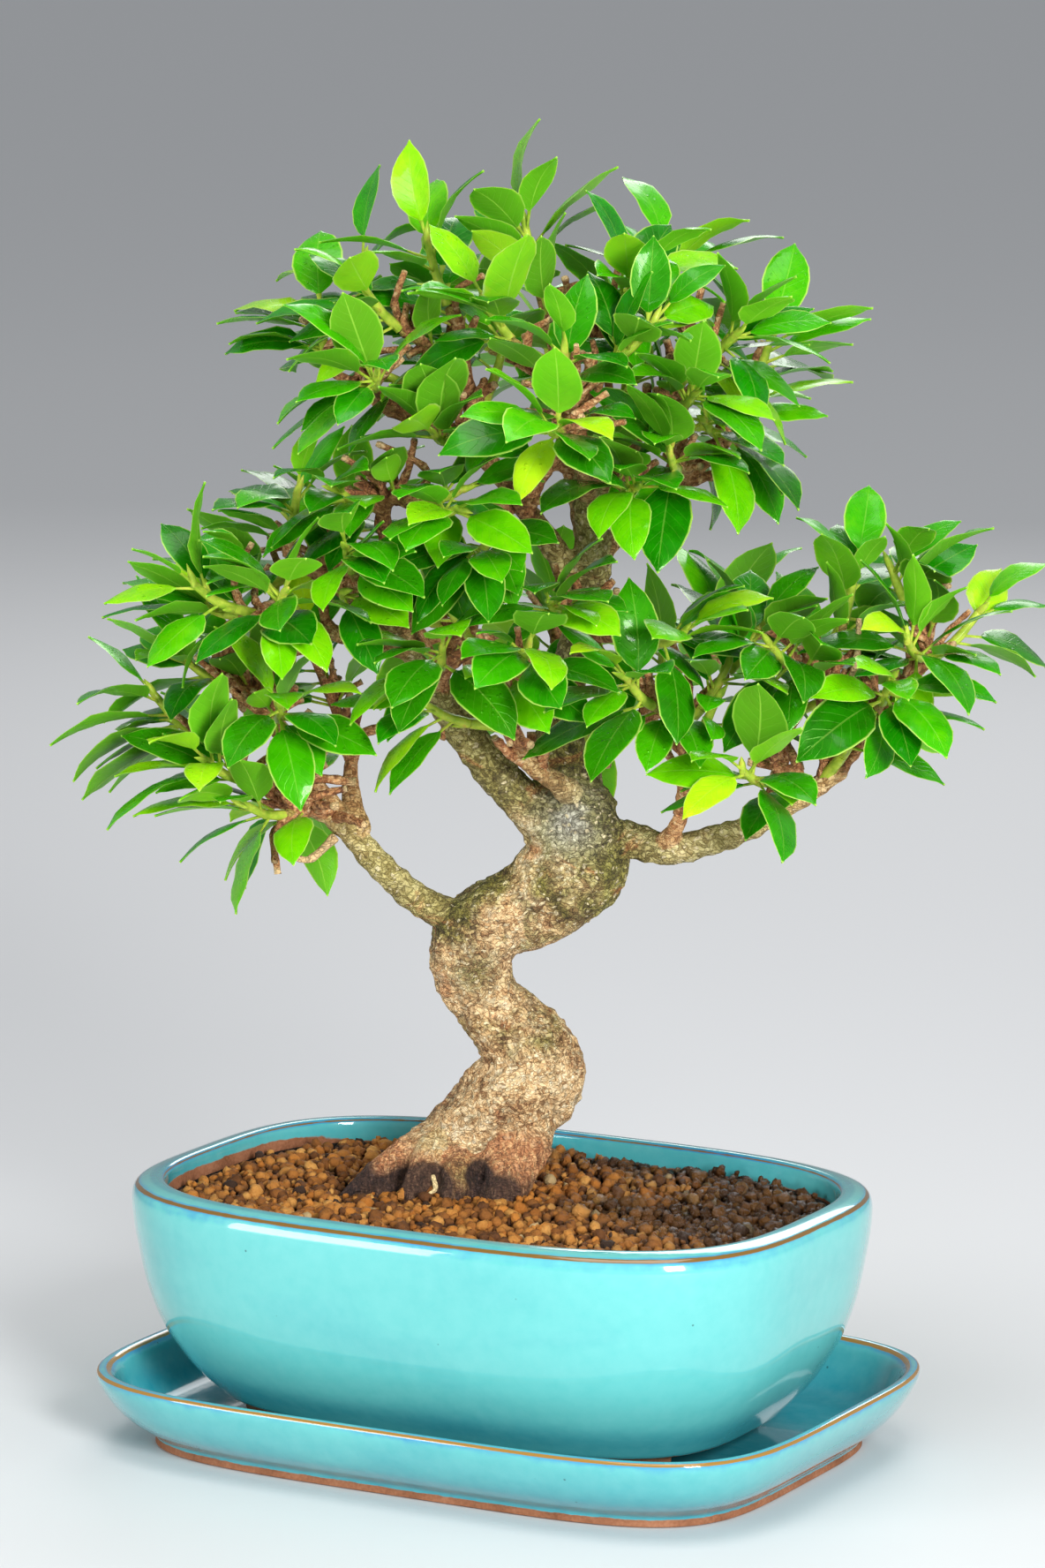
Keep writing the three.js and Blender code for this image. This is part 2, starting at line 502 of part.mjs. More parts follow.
// Soil: a bed of baked clay grains, level at the wall and heaped at the trunk, with a hole that the
// trunk and its roots stand in, and a recess over each drain screen.
function makeSoil(place) {
  const roll = dice(SEED);
  const profile = [[31 + GAP, POT_FLOOR_Z + GAP], [16.7 + GAP, 52], [12 + GAP, 78], [12 + GAP, SOIL_Z]];
  const rings = profile.map(([inset, z]) => outline(POT, inset, z));
  const rim = outline(POT, 12 + GAP, SOIL_Z);
  for (let i = 1; i < SOIL.rings; i++) {
    const share = 1 - i / SOIL.rings;
    rings.push(
      rim.map(([x, y], j) => {
        const [px, py] = [between([TREE_PLACE.x, x], share), between([TREE_PLACE.y, y], share)];
        const far = Math.hypot(px - TREE_PLACE.x, py - TREE_PLACE.y) / 60;
        const grain = SOIL.grain * ((i + j) % 2 ? 1 : -1) + SOIL.grain * (roll() - 0.5);
        return [px, py, SOIL_Z + SOIL.mound * Math.exp(-far * far) + grain];
      }),
    );
  }
  const top = [TREE_PLACE.x, TREE_PLACE.y, SOIL_Z + SOIL.mound];
  const grains = (i, j) => (i + j + profile.length) % 2 === 0;
  const bed = solidOf(loft([[[0, 0, POT_FLOOR_Z + GAP]], ...rings, [top]], grains));
  const hole = wasm.Manifold.union(trunkBase(0.5)).transform(place.elements);
  const recess = (x) => box(SCREEN.size + 1, SCREEN.size + 1, 4, x, 0, POT_FLOOR_Z + SCREEN.thickness + 2 * GAP - 2);
  return bed.subtract(hole).subtract(recess(-DRAIN.x)).subtract(recess(DRAIN.x));
}

const shoots = growShoots();

const tree = new THREE.Group();
tree.position.set(TREE_PLACE.x, TREE_PLACE.y, TREE_PLACE.z);
tree.rotation.z = TREE_PLACE.turn * RADIANS;
tree.updateMatrix();
tree.add(piece("trunk", makeTrunk(shoots), CLAY.bark, 0.9));
for (const shoot of shoots) tree.add(piece(shoot.name, makeShoot(shoot), CLAY.leaf, 0.4));

const potted = new THREE.Group();
potted.position.set(...POT_SHIFT);
potted.add(piece("pot", makePot(), CLAY.glaze, 0.15));
potted.add(piece("drain_screen_left", makeScreen(-DRAIN.x), CLAY.net, 0.6));
potted.add(piece("drain_screen_right", makeScreen(DRAIN.x), CLAY.net, 0.6));
potted.add(piece("soil", makeSoil(tree.matrix), CLAY.soil, 0.95));
potted.add(tree);

const bonsai = new THREE.Group();
bonsai.add(piece("saucer", vessel(SAUCER, SAUCER_PROFILE), CLAY.glaze, 0.15));
bonsai.add(potted);

export default bonsai;
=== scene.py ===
"""Banyan bonsai in its glazed pot on a drip saucer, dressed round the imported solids."""
import math

import bpy
import numpy as np
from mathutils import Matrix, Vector


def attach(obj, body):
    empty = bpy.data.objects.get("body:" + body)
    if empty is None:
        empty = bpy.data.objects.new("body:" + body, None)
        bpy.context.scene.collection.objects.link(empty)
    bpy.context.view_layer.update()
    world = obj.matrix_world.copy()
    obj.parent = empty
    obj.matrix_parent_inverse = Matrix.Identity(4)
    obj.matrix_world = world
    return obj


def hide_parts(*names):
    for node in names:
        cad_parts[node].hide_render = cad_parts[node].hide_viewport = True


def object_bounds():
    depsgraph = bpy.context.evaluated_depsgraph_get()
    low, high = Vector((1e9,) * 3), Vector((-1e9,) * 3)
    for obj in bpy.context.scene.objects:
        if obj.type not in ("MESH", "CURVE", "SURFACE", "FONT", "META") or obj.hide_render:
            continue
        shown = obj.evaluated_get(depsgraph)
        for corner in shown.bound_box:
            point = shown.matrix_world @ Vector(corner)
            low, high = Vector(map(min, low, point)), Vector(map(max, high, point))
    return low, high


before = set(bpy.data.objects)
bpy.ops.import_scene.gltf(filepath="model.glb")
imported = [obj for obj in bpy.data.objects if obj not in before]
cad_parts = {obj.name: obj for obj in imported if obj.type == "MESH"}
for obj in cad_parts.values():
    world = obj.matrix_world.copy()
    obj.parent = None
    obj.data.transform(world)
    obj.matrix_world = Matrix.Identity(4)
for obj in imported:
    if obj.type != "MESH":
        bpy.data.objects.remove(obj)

cad_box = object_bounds()

# Saucer: a shallow oblong dish, pressed from stoneware and dipped in turquoise glaze down to its
# foot. The glaze runs thin on the rim, where the fired body shows through as a tan line.
SAUCER = {"half_length": 132, "half_width": 97, "squareness": 4.6}  # millimetres, as all sizes here
SAUCER_WALL = [
    (26, 0), (18, 0), (17.2, 0.6), (17, 3.2), (13, 6.6), (9, 10), (5, 14.8), (2, 20), (0.5, 23.5), (0.1, 25.6),
    (0.5, 26.8), (1.5, 27.2), (2.7, 27.2), (3.8, 26.7), (5, 25.2), (5.9, 23.6), (8, 17.5), (11, 11.8),
    (14.5, 8.9), (19, 8), (27, 8),
]
SAUCER_TAN_LINES = (9.9, 12.9)  # places in the list above where the glaze is thinnest
SAUCER_BARE_TO = 2.75  # the foot is unglazed up to this place in the list
MM = 0.001


def outline(form, inset, t):
    """A rounded rectangle: x = a sgn(cos t)|cos t|^(2/n) and y = b sgn(sin t)|sin t|^(2/n)."""
    c, s = np.cos(t), np.sin(t)
    bow = 2 / form["squareness"]
    x = (form["half_length"] - inset) * np.sign(c) * abs(c) ** bow
    return x, (form["half_width"] - inset) * np.sign(s) * abs(s) ** bow


def even_turns(form, count):
    """Angles t that lie evenly along the outline, found by summing the lengths of tiny steps."""
    t = np.linspace(0, 2 * np.pi, 20001)
    x, y = outline(form, 0, t)
    gone = np.concatenate([[0], np.cumsum(np.hypot(np.diff(x), np.diff(y)))])
    return np.interp(np.linspace(0, gone[-1], count, endpoint=False), gone, t)


def reach_out(form, x, y, inset):
    """How far out a point lies: (|x|/a)^n + (|y|/b)^n, which is 1 on the outline."""
    power = form["squareness"]
    return (abs(x) / (form["half_length"] - inset)) ** power + (abs(y) / (form["half_width"] - inset)) ** power


def hump(x, middle, width):
    """A bell curve: e^-((x - middle) / width)^2."""
    return np.exp(-(((x - middle) / width) ** 2))


def along(points, share):
    """A Catmull-Rom line through the points, at shares from 0 to 1 of the way along it."""
    p = np.asarray(points, float)
    spans = len(p) - 1
    place = np.asarray(share, float) * spans
    i = np.clip(np.floor(place).astype(int), 0, spans - 1)
    t = (place - i)[..., None]
    a, b, c, d = p[np.maximum(i - 1, 0)], p[i], p[i + 1], p[np.minimum(i + 2, spans)]
    square, cube = 2 * a - 5 * b + 4 * c - d, 3 * b - a - 3 * c + d
    return 0.5 * (2 * b + (c - a) * t + square * t * t + cube * t * t * t)


def mesh_piece(name, points, faces):
    """A smooth mesh object from points in millimetres and arrays of faces, put into metres."""
    mesh = bpy.data.meshes.new(name)
    counts = np.concatenate([np.full(len(f), f.shape[1]) for f in faces])
    corners = np.concatenate([f.ravel() for f in faces]).astype(np.int32)
    mesh.vertices.add(len(points))
    mesh.vertices.foreach_set("co", (np.asarray(points) * MM).astype(np.float32).ravel())
    mesh.loops.add(len(corners))
    mesh.loops.foreach_set("vertex_index", corners)
    mesh.polygons.add(len(counts))
    mesh.polygons.foreach_set("loop_start", np.concatenate([[0], np.cumsum(counts)[:-1]]).astype(np.int32))
    mesh.polygons.foreach_set("use_smooth", np.ones(len(counts), bool))
    mesh.update(calc_edges=True)
    piece = bpy.data.objects.new(name, mesh)
    bpy.context.scene.collection.objects.link(piece)
    return piece


def mark(piece, **layers):
    """Stores a number for each vertex under the names that the piece's material reads."""
    for name, values in layers.items():
        layer = piece.data.attributes.new(name, "FLOAT", "POINT")
        layer.data.foreach_set("value", np.asarray(values, np.float32))


def ring_faces(rings, sides):
    """Quads between rings of points: corner j of ring i joins corner j + 1 and ring i + 1."""
    i, j = np.meshgrid(np.arange(rings - 1), np.arange(sides), indexing="ij")
    k = (j + 1) % sides
    return np.stack([i * sides + j, i * sides + k, (i + 1) * sides + k, (i + 1) * sides + j], -1).reshape(-1, 4)


def vessel(name, form, wall, shift=(0, 0), per_span=3, sides=240):
    """A dish: its wall of (inset, height) is carried round the outline, and both middles are closed."""
    place = np.linspace(0, len(wall) - 1, (len(wall) - 1) * per_span + 1)
    inset, z = np.maximum(along(wall, place / (len(wall) - 1)), np.min(wall, axis=0)).T
    x, y = outline(form, inset[:, None], even_turns(form, sides))
    rings = np.stack([x + shift[0], y + shift[1], np.broadcast_to(z[:, None], x.shape)], -1).reshape(-1, 3)
    points = np.concatenate([rings, [[*shift, z[0]], [*shift, z[-1]]]])
    j = np.arange(sides)
    k = (j + 1) % sides
    last = len(rings) - sides
    below = np.stack([np.full(sides, len(rings)), k, j], -1)
    above = np.stack([last + j, last + k, np.full(sides, len(rings) + 1)], -1)
    piece = mesh_piece(name, points, [ring_faces(len(place), sides), below, above])
    return piece, np.concatenate([np.repeat(place, sides), [place[0], place[-1]]])


def paint(red, green, blue):
    """A colour given as 0 to 255 on a screen, in the linear values that shaders take."""
    share = np.array([red, green, blue]) / 255
    return (*np.where(share <= 0.04045, share / 12.92, ((share + 0.055) / 1.055) ** 2.4), 1.0)


class Signal:
    """What a shader socket gives out. Arithmetic on it adds the node that works out the result."""

    def __init__(self, socket):
        self.socket = socket

    def __add__(self, other):
        return maths("ADD", self, other)

    def __sub__(self, other):
        return maths("SUBTRACT", self, other)

    def __mul__(self, other):
        return maths("MULTIPLY", self, other)

    def __gt__(self, other):
        return maths("GREATER_THAN", self, other)

    def __lt__(self, other):
        return maths("LESS_THAN", self, other)

    def __abs__(self):
        return maths("ABSOLUTE", self)


def tree_of(*values):
    """The node tree that the signals among the values belong to."""
    return next(value.socket.id_data for value in values if isinstance(value, Signal))


def connect(target, value):
    """Joins a signal to an input socket, or sets the socket to a value."""
    if isinstance(value, Signal):
        target.id_data.links.new(value.socket, target)
    else:
        target.default_value = value


def feed(made, **inputs):
    """Joins signals to a node's inputs, or sets them, by names such as Base_Color."""
    for name, value in inputs.items():
        connect(made.inputs[name.replace("_", " ")], value)


def node(tree, kind, inputs=None, output=0, **settings):
    """Adds a shader node with its settings and inputs, and gives back one of its outputs."""
    made = tree.nodes.new(kind)
    for name, value in settings.items():
        setattr(made, name, value)
    for name, value in (inputs or {}).items():
        connect(made.inputs[name], value)
    return Signal(made.outputs[output])


def maths(operation, *values):
    """One step of arithmetic on signals and numbers."""
    return node(tree_of(*values), "ShaderNodeMath", dict(enumerate(values)), operation=operation)


def larger(first, second):
    """The larger of two signals."""
    return maths("MAXIMUM", first, second)


def clamped(signal):
    """The signal, kept from 0 to 1 by the arithmetic node that it comes from."""
    signal.socket.node.use_clamp = True
    return signal


def mixed(share, first, second):
    """The first colour going over into the second by a share from 0 to 1."""
    inputs = {0: share, 6: first, 7: second}
    return node(tree_of(share, first, second), "ShaderNodeMix", inputs, 2, data_type="RGBA")


def step(value, low, high, bottom=0.0, top=1.0):
    """Goes smoothly from bottom to top as the value goes from low to high."""
    inputs = {"Value": value, "From Min": low, "From Max": high, "To Min": bottom, "To Max": top}
    return node(tree_of(value), "ShaderNodeMapRange", inputs, interpolation_type="SMOOTHSTEP")


def squeezed(where, upward):
    """The place with its height scaled, which draws a pattern out or in along Z."""
    return node(tree_of(where), "ShaderNodeMapping", {0: where, "Scale": (1, 1, upward)})


def noise(where, scale, detail=3.0, rough=0.55, warp=0.0):
    """A cloudy pattern round 0.5. The scale is in repeats per metre."""
    inputs = {"Vector": where, "Scale": scale, "Detail": detail, "Roughness": rough, "Distortion": warp}
    return node(tree_of(where), "ShaderNodeTexNoise", inputs)


def cells(where, scale, feature="F1", output="Distance"):
    """A pattern of cells: the distance to a cell's middle or edge, or the cell's own colour."""
    inputs = {"Vector": where, "Scale": scale}
    return node(tree_of(where), "ShaderNodeTexVoronoi", inputs, output, feature=feature)


def cell_draw(where, scale, channel=0):
    """A random number of its own for each cell, from 0 to 1."""
    return node(tree_of(where), "ShaderNodeSeparateColor", {0: cells(where, scale, output="Color")}, channel)


def ramp(share, *stops):
    """A colour for a share from 0 to 1, through stops of (share, colour)."""
    made = node(tree_of(share), "ShaderNodeValToRGB", {0: share})
    band = made.socket.node.color_ramp
    while len(band.elements) < len(stops):
        band.elements.new(0.5)
    for element, (place, colour) in zip(band.elements, stops):
        element.position = place
        element.color = colour
    return made


def relief(height, depth, strength):
    """A normal from a height of 0 to 1 that stands for a depth in metres."""
    return node(tree_of(height), "ShaderNodeBump", {"Height": height, "Distance": depth, "Strength": strength})


def layer(tree, name):
    """The number that mark stored on the piece under this name."""
    return node(tree, "ShaderNodeAttribute", output="Fac", attribute_name=name)


def east_north_up(where):
    """The three numbers of a place."""
    split = node(tree_of(where), "ShaderNodeSeparateXYZ", {0: where}).socket.node
    return [Signal(socket) for socket in split.outputs]


def material(name):
    """A new material, with its node tree, its shader and its Object coordinates."""
    made = bpy.data.materials.new(name)
    made.use_nodes = True
    tree = made.node_tree
    shader = next(n for n in tree.nodes if n.type == "BSDF_PRINCIPLED")
    return made, tree, shader, node(tree, "ShaderNodeTexCoord", output="Object")


def group(name, inputs, outputs):
    """An empty node group with named inputs, each with its starting value, and named outputs."""
    tree = bpy.data.node_groups.new(name, "ShaderNodeTree")
    kinds = {float: "NodeSocketFloat", tuple: "NodeSocketColor", str: "NodeSocketVector"}
    for socket, value in inputs.items():
        made = tree.interface.new_socket(socket, in_out="INPUT", socket_type=kinds[type(value)])
        if not isinstance(value, str):
            made.default_value = value
    for socket, kind in outputs.items():
        tree.interface.new_socket(socket, in_out="OUTPUT", socket_type=kinds[kind])
    entry = tree.nodes.new("NodeGroupInput")
    return {socket.name: Signal(socket) for socket in entry.outputs}, tree, tree.nodes.new("NodeGroupOutput")


def placed(tree, made, **inputs):
    """Puts a node group into a tree, with its inputs joined or set, and gives back its outputs."""
    use = tree.nodes.new("ShaderNodeGroup")
    use.node_tree = made
    feed(use, **inputs)
    return {socket.name: Signal(socket) for socket in use.outputs}


def finish_piece(piece, surface, slot, *nodes):
    """Gives a piece its material, hangs it on the root body and hides the CAD nodes that it stands in for."""
    piece.data.materials.append(surface)
    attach(piece, "root")
    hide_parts(*nodes)


# Turquoise glaze over fired clay: light where it is thin, deeper where it pools and where shade is
# painted on it, with a brown line and a blue tinge where it runs off an edge, and a few pinholes.
given, glaze, out = group(
    "turquoise_glaze",
    {"Position": "vector", "Glazed": 1.0, "Thin": 0.0, "Pool": 0.0, "Light": paint(92, 187, 185),
     "Deep": paint(8, 140, 158), "Edge": paint(126, 92, 40)},
    {"Color": tuple, "Roughness": float, "Coat": float, "Height": float},
)
spot = given["Position"]
drift = noise(squeezed(spot, 2.4), 15, 3, 0.5, 0.6)
mottle = noise(spot, 190, 3)
depth = clamped(given["Pool"] + drift * 0.9 - 0.45)
wet_colour = mixed(depth, given["Light"], given["Deep"])
wet_colour = mixed(mottle * 0.16, wet_colour, paint(176, 240, 234))
ragged = given["Thin"] + noise(spot, 130, 4) * 0.5 - 0.25
blue = clamped(step(ragged, 0.1, 0.42) * (noise(spot, 17, 1) * 1.1 - 0.16))
wet_colour = mixed(blue, wet_colour, paint(22, 108, 190))
wet_colour = mixed(step(ragged, 0.5, 0.78), wet_colour, given["Edge"])
pinhole = step(cells(spot, 95), 0.03, 0.055, 1, 0) * (cell_draw(spot, 95) > 0.72)
wet_colour = mixed(pinhole * 0.75, wet_colour, paint(38, 92, 96))
speck = noise(spot, 900, 2)
clay_colour = ramp(
    noise(spot, 60, 5) * 0.6 + speck * 0.4, (0.3, paint(112, 70, 46)), (0.5, paint(144, 94, 66)),
    (0.7, paint(170, 118, 88)),
)
shore = step(given["Glazed"] + mottle * 0.5 - 0.25, 0.42, 0.58)
feed(
    out, Color=mixed(shore, clay_colour, wet_colour), Roughness=shore * -0.7 + mottle * 0.08 + 0.8,
    Coat=shore, Height=(speck - pinhole) * (shore * -0.2 + 0.25) + noise(spot, 70, 2) * 0.5,
)


def glazed_clay(name, pool_share, edge):
    """Glaze over clay, from the marks that a vessel carries for where it is glazed, thin and deep."""
    made, tree, shader, where = material(name)
    coat = placed(
        tree, glaze, Position=where, Glazed=layer(tree, "glazed"), Thin=layer(tree, "thin"),
        Pool=layer(tree, "pool") * pool_share, Edge=edge,
    )
    shine = coat["Coat"] * step(layer(tree, "pool"), 1.1, 1.7, 1, 0.3)  # a dish's floor is dull
    feed(shader, Base_Color=coat["Color"], Roughness=coat["Roughness"], Coat_Weight=shine)
    feed(
        shader, Coat_Roughness=0.03, Coat_IOR=1.5, Specular_IOR_Level=0.2,
        Normal=relief(coat["Height"], 0.0006, 0.4),
    )
    return made


saucer, saucer_place = vessel("drip_saucer", SAUCER, SAUCER_WALL)
tan_lines = [
    hump(saucer_place, line, 0.45) + 0.44 * hump(saucer_place, line, 1.5) for line in SAUCER_TAN_LINES
]
mark(
    saucer, glazed=1 / (1 + np.exp((SAUCER_BARE_TO - saucer_place) * 6)), thin=np.maximum(*tan_lines),
    pool=np.clip(1.1 - abs(saucer_place - 9) / 5, 0, 1) * -0.6 + np.clip((saucer_place - 15) / 3, 0, 1)
    + 0.4 * np.clip(5.5 - saucer_place, 0, 1) + 0.85,
)
finish_piece(saucer, glazed_clay("saucer_glaze", 0.7, paint(154, 114, 48)), "saucer_glaze", "saucer")

# Pot: an oblong stoneware bowl with a flat rim, glazed outside and just inside the rim. It stands on
# four unglazed corner feet, and two holes in its floor let the water out.
POT = {"half_length": 125, "half_width": 88, "squareness": 3.3}
POT_SHIFT = (-2.5, -1)  # it stands a little off the middle of its saucer
POT_WALL = [
    (44, 14.5), (31, 14.5), (25.5, 18.6), (18.5, 26), (13.5, 33.5), (9.5, 41), (6.3, 49.5), (4, 58), (2.2, 68),
    (0.8, 77), (0.2, 84.5), (0.5, 88.2), (1.5, 90.4), (3.2, 91.5), (6.4, 92.3), (9, 92.4), (10.2, 91.5),
    (10.8, 89), (11.4, 78), (13.3, 65), (16, 52), (21.5, 36.5), (30, 22), (42, 22),
]
POT_FOOT = {"inset": 35, "wall": 12, "low": 8.3, "high": 18.5, "half_gap_length": 52, "half_gap_width": 33}
DRAIN_HOLES = ((-48, 0), (48, 0))
DRAIN_RADIUS = 8
POT_EDGES = {"inner": 91.6, "outer": 90.7, "run_off": 88.6}  # heights at which the glaze runs thin
POT_BARE_TO = 14.8  # the foot is unglazed up to here
POT_GLAZED_INSIDE_TO = 83.4


def settled(piece):
    """The piece with its modifiers applied to its mesh."""
    shown = piece.evaluated_get(bpy.context.evaluated_depsgraph_get())
    mesh = bpy.data.meshes.new_from_object(shown)
    piece.modifiers.clear()
    piece.data = mesh
    return piece


def carve(piece, tool, operation):
    """Cuts a tool's shape out of the piece, or joins it on, and throws the tool away."""
    change = piece.modifiers.new("carve", "BOOLEAN")
    change.operation = operation
    change.solver = "EXACT"
    change.object = tool
    settled(piece)
    bpy.data.objects.remove(tool)


def bundle(name, solids):
    """One mesh of closed solids, each given as rings of points and closed by a flat cap at each end."""
    faces, start = [], 0
    for loops in solids:
        rings, sides = loops.shape[:2]
        ends = [np.arange(sides)[None, ::-1], np.arange(sides)[None] + (rings - 1) * sides]
        faces += [part + start for part in (ring_faces(rings, sides), *ends)]
        start += rings * sides
    return mesh_piece(name, np.concatenate([loops.reshape(-1, 3) for loops in solids]), faces)


def turn_at(form, inset, x=None, y=None):
    """The angle t at which the outline passes a given x or y in its first quarter."""
    power = form["squareness"] / 2
    if x is not None:
        return np.arccos((x / (form["half_length"] - inset)) ** power)
    return np.arcsin((y / (form["half_width"] - inset)) ** power)


def pot_foot(sign_x, sign_y):
    """A corner foot: the strip between two outlines, cut off square, its lower edge rounded in."""
    inner = POT_FOOT["inset"] + POT_FOOT["wall"]
    sides = []
    for inset in (POT_FOOT["inset"], inner):
        first = turn_at(POT, inset, y=POT_FOOT["half_gap_width"])
        last = turn_at(POT, inset, x=POT_FOOT["half_gap_length"])
        sides.append(np.stack(outline(POT, inset, np.linspace(first, last, 18)), -1))
    loop = np.concatenate([sides[0], sides[1][::-1]])
    middle = loop.mean(0)
    low, high = POT_FOOT["low"], POT_FOOT["high"]
    levels = np.array([[low, 0.95], [low + 0.8, 0.99], [low + 2, 1.0], [high, 1.03]])
    flat = middle + (loop - middle) * levels[:, 1, None, None]
    loops = np.concatenate([flat, np.broadcast_to(levels[:, 0, None, None], (*flat.shape[:2], 1))], -1)
    loops = loops * (sign_x, sign_y, 1) + (*POT_SHIFT, 0)
    return bundle("foot", [loops if sign_x * sign_y > 0 else loops[:, ::-1]])


pot, _ = vessel("glazed_pot", POT, POT_WALL, POT_SHIFT)
for sign_x in (-1, 1):
    for sign_y in (-1, 1):
        carve(pot, pot_foot(sign_x, sign_y), "UNION")
for x, y in DRAIN_HOLES:
    turns = np.linspace(0, 2 * np.pi, 40, endpoint=False)
    rim = np.add((x, y), POT_SHIFT) + DRAIN_RADIUS * np.stack([np.cos(turns), np.sin(turns)], -1)
    drill = np.stack([np.column_stack([rim, np.full(40, z)]) for z in (5.0, 30.0)])
    carve(pot, bundle("drill", [drill]), "DIFFERENCE")
spots = np.empty(len(pot.data.vertices) * 3)
pot.data.vertices.foreach_get("co", spots)
px, py, pz = (spots.reshape(-1, 3) / MM - (*POT_SHIFT, 0)).T
wall_insets = np.array(POT_WALL)
turnover = 14  # the place in the wall's list where its outside ends and its inside begins
outer = np.interp(pz, wall_insets[1:turnover, 1], wall_insets[1:turnover, 0])
inner = np.interp(pz, wall_insets[turnover:, 1][::-1], wall_insets[turnover:, 0][::-1])
inside = (reach_out(POT, px, py, (outer + inner) / 2) < 1) & (pz > 21)
outer_line = hump(pz, POT_EDGES["outer"], 0.62) + 0.23 * hump(pz, POT_EDGES["run_off"], 2)
edge_line = np.where(inside, 0.85 * hump(pz, POT_EDGES["inner"], 0.5), outer_line)
bare_to = POT_GLAZED_INSIDE_TO + 2.7 * np.clip((-px - 68) / 45, 0, 1)  # less far down at the left end
mark(
    pot, glazed=np.where(inside, np.clip((pz - bare_to) / 1.2, 0, 1), np.clip((pz - POT_BARE_TO) / 1.5, 0, 1)),
    thin=edge_line + np.where(pz > POT_EDGES["inner"], 0.03, 0),
    # Inside the rim the glaze is painted deeper, as painted shade inside the pot.
    pool=np.where(inside, 0.55, 0.5 * hump(pz, 23, 6)) + np.where(pz > 91, 0.12, 0),
)
pot.data.set_sharp_from_angle(angle=math.radians(50))
finish_piece(pot, glazed_clay("pot_glaze", 1.0, paint(122, 88, 34)), "pot_glaze", "pot")

# Drain screens: a square of black plastic net over each hole, moulded flat. The CAD nets stay, with
# the matt, slightly silted look of such net.
net, tree, shader, where = material("plastic_net")
silt = noise(where, 140, 4)
silted = ramp(silt, (0.4, paint(24, 26, 28)), (0.62, paint(44, 42, 38)), (0.8, paint(98, 72, 48)))
netting = relief(noise(where, 1500, 2), 0.0002, 0.4)
feed(shader, Base_Color=silted, Roughness=step(silt, 0.3, 0.7, 0.5, 0.85), Normal=netting)
for name in ("drain_screen_left", "drain_screen_right"):
    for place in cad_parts[name].material_slots:
        place.material = net

# Soil: baked clay grains of 3 to 6 mm, poured in and heaped a little at the trunk. The bed below is
# painted near black as shade between the grains; loose grains lie on it in one layer and part of a second.
TREE_PLACE = {"x": -25.5, "y": 17, "z": 84, "turn": 28.9}  # in the pot
SOIL_WALL = [(31.3, 22.3), (17, 52), (12.3, 78), (12.3, 84)]
SOIL_LEVEL = {"wall": 84.0, "mound": 0.9, "spread": 60}
BED = {"sides": 150, "wall_rings": 8, "top_rings": 34, "below_grains": 1.7}
GRAINS = {"pitch": 3.35, "radius": (1.1, 2.85), "second_layer": 0.24, "sides": 3}


def lattice_noise(points, size, seed):
    """Smooth noise from -1 to 1: random numbers at the corners of cubes of a size, blended between."""
    p = np.asarray(points) / size
    cell = np.floor(p).astype(np.int64)
    t = p - cell
    t = t * t * (3 - 2 * t)
    total = np.zeros(len(p))
    for dx in (0, 1):
        for dy in (0, 1):
            for dz in (0, 1):
                corner = (cell + (dx, dy, dz)).astype(np.uint64)
                mixed_up = corner[:, 0] * np.uint64(73856093) ^ corner[:, 1] * np.uint64(19349663)
                mixed_up = (mixed_up ^ corner[:, 2] * np.uint64(83492791)) + np.uint64(seed * 2654435761)
                mixed_up = (mixed_up ^ (mixed_up >> np.uint64(15))) * np.uint64(2246822519)
                mixed_up = (mixed_up ^ (mixed_up >> np.uint64(13))) % np.uint64(65536)
                weight = np.prod(np.where((dx, dy, dz), t, 1 - t), axis=1)
                total += weight * (mixed_up.astype(float) / 32767.5 - 1)
    return total


def soil_height(x, y):
    """The bed's level in the pot: flat at the wall, with a low mound round the tree."""
    far = np.hypot(x - TREE_PLACE["x"], y - TREE_PLACE["y"]) / SOIL_LEVEL["spread"]
    flat = np.stack([x.ravel(), y.ravel(), np.zeros(x.size)], -1)
    uneven = 1.3 * lattice_noise(flat, 22, 5) + 0.5 * lattice_noise(flat, 7, 6)
    return SOIL_LEVEL["wall"] + SOIL_LEVEL["mound"] * np.exp(-far * far) + uneven.reshape(x.shape)


bed_turns = even_turns(POT, BED["sides"])
bed_rings = []
for inset, z in along(SOIL_WALL, np.linspace(0, 1, BED["wall_rings"])):
    x, y = outline(POT, inset, bed_turns)
    bed_rings.append(np.stack([x, y, np.full(BED["sides"], z)], -1))
x, y = outline(POT, SOIL_WALL[-1][0], bed_turns)
share = np.linspace(1, 0.02, BED["top_rings"])[:, None]
x, y = TREE_PLACE["x"] + (x - TREE_PLACE["x"]) * share, TREE_PLACE["y"] + (y - TREE_PLACE["y"]) * share
bed_rings = np.concatenate([bed_rings, np.stack([x, y, soil_height(x, y) - BED["below_grains"]], -1)])
soil_bed = bundle("soil_bed", [bed_rings + (*POT_SHIFT, 0)])

rng = np.random.default_rng(11)
row_gap = GRAINS["pitch"] * 0.866
half_rows, half_columns = int(POT["half_width"] / row_gap), int(POT["half_length"] / GRAINS["pitch"])
rows = np.arange(-half_rows, half_rows + 1)[:, None]
spots_x = (np.arange(-half_columns, half_columns + 1)[None] + rows % 2 / 2) * GRAINS["pitch"]
grain_x = spots_x.ravel() + rng.uniform(-1, 1, spots_x.size)
grain_y = (rows * row_gap + 0 * spots_x).ravel() + rng.uniform(-1, 1, spots_x.size)
again = rng.choice(len(grain_x), int(GRAINS["second_layer"] * len(grain_x)), replace=False)
lift = np.concatenate([rng.uniform(-0.7, 0.7, len(grain_x)), rng.uniform(1.3, 2.3, len(again))])
grain_x = np.concatenate([grain_x, grain_x[again] + rng.uniform(-2, 2, len(again))])
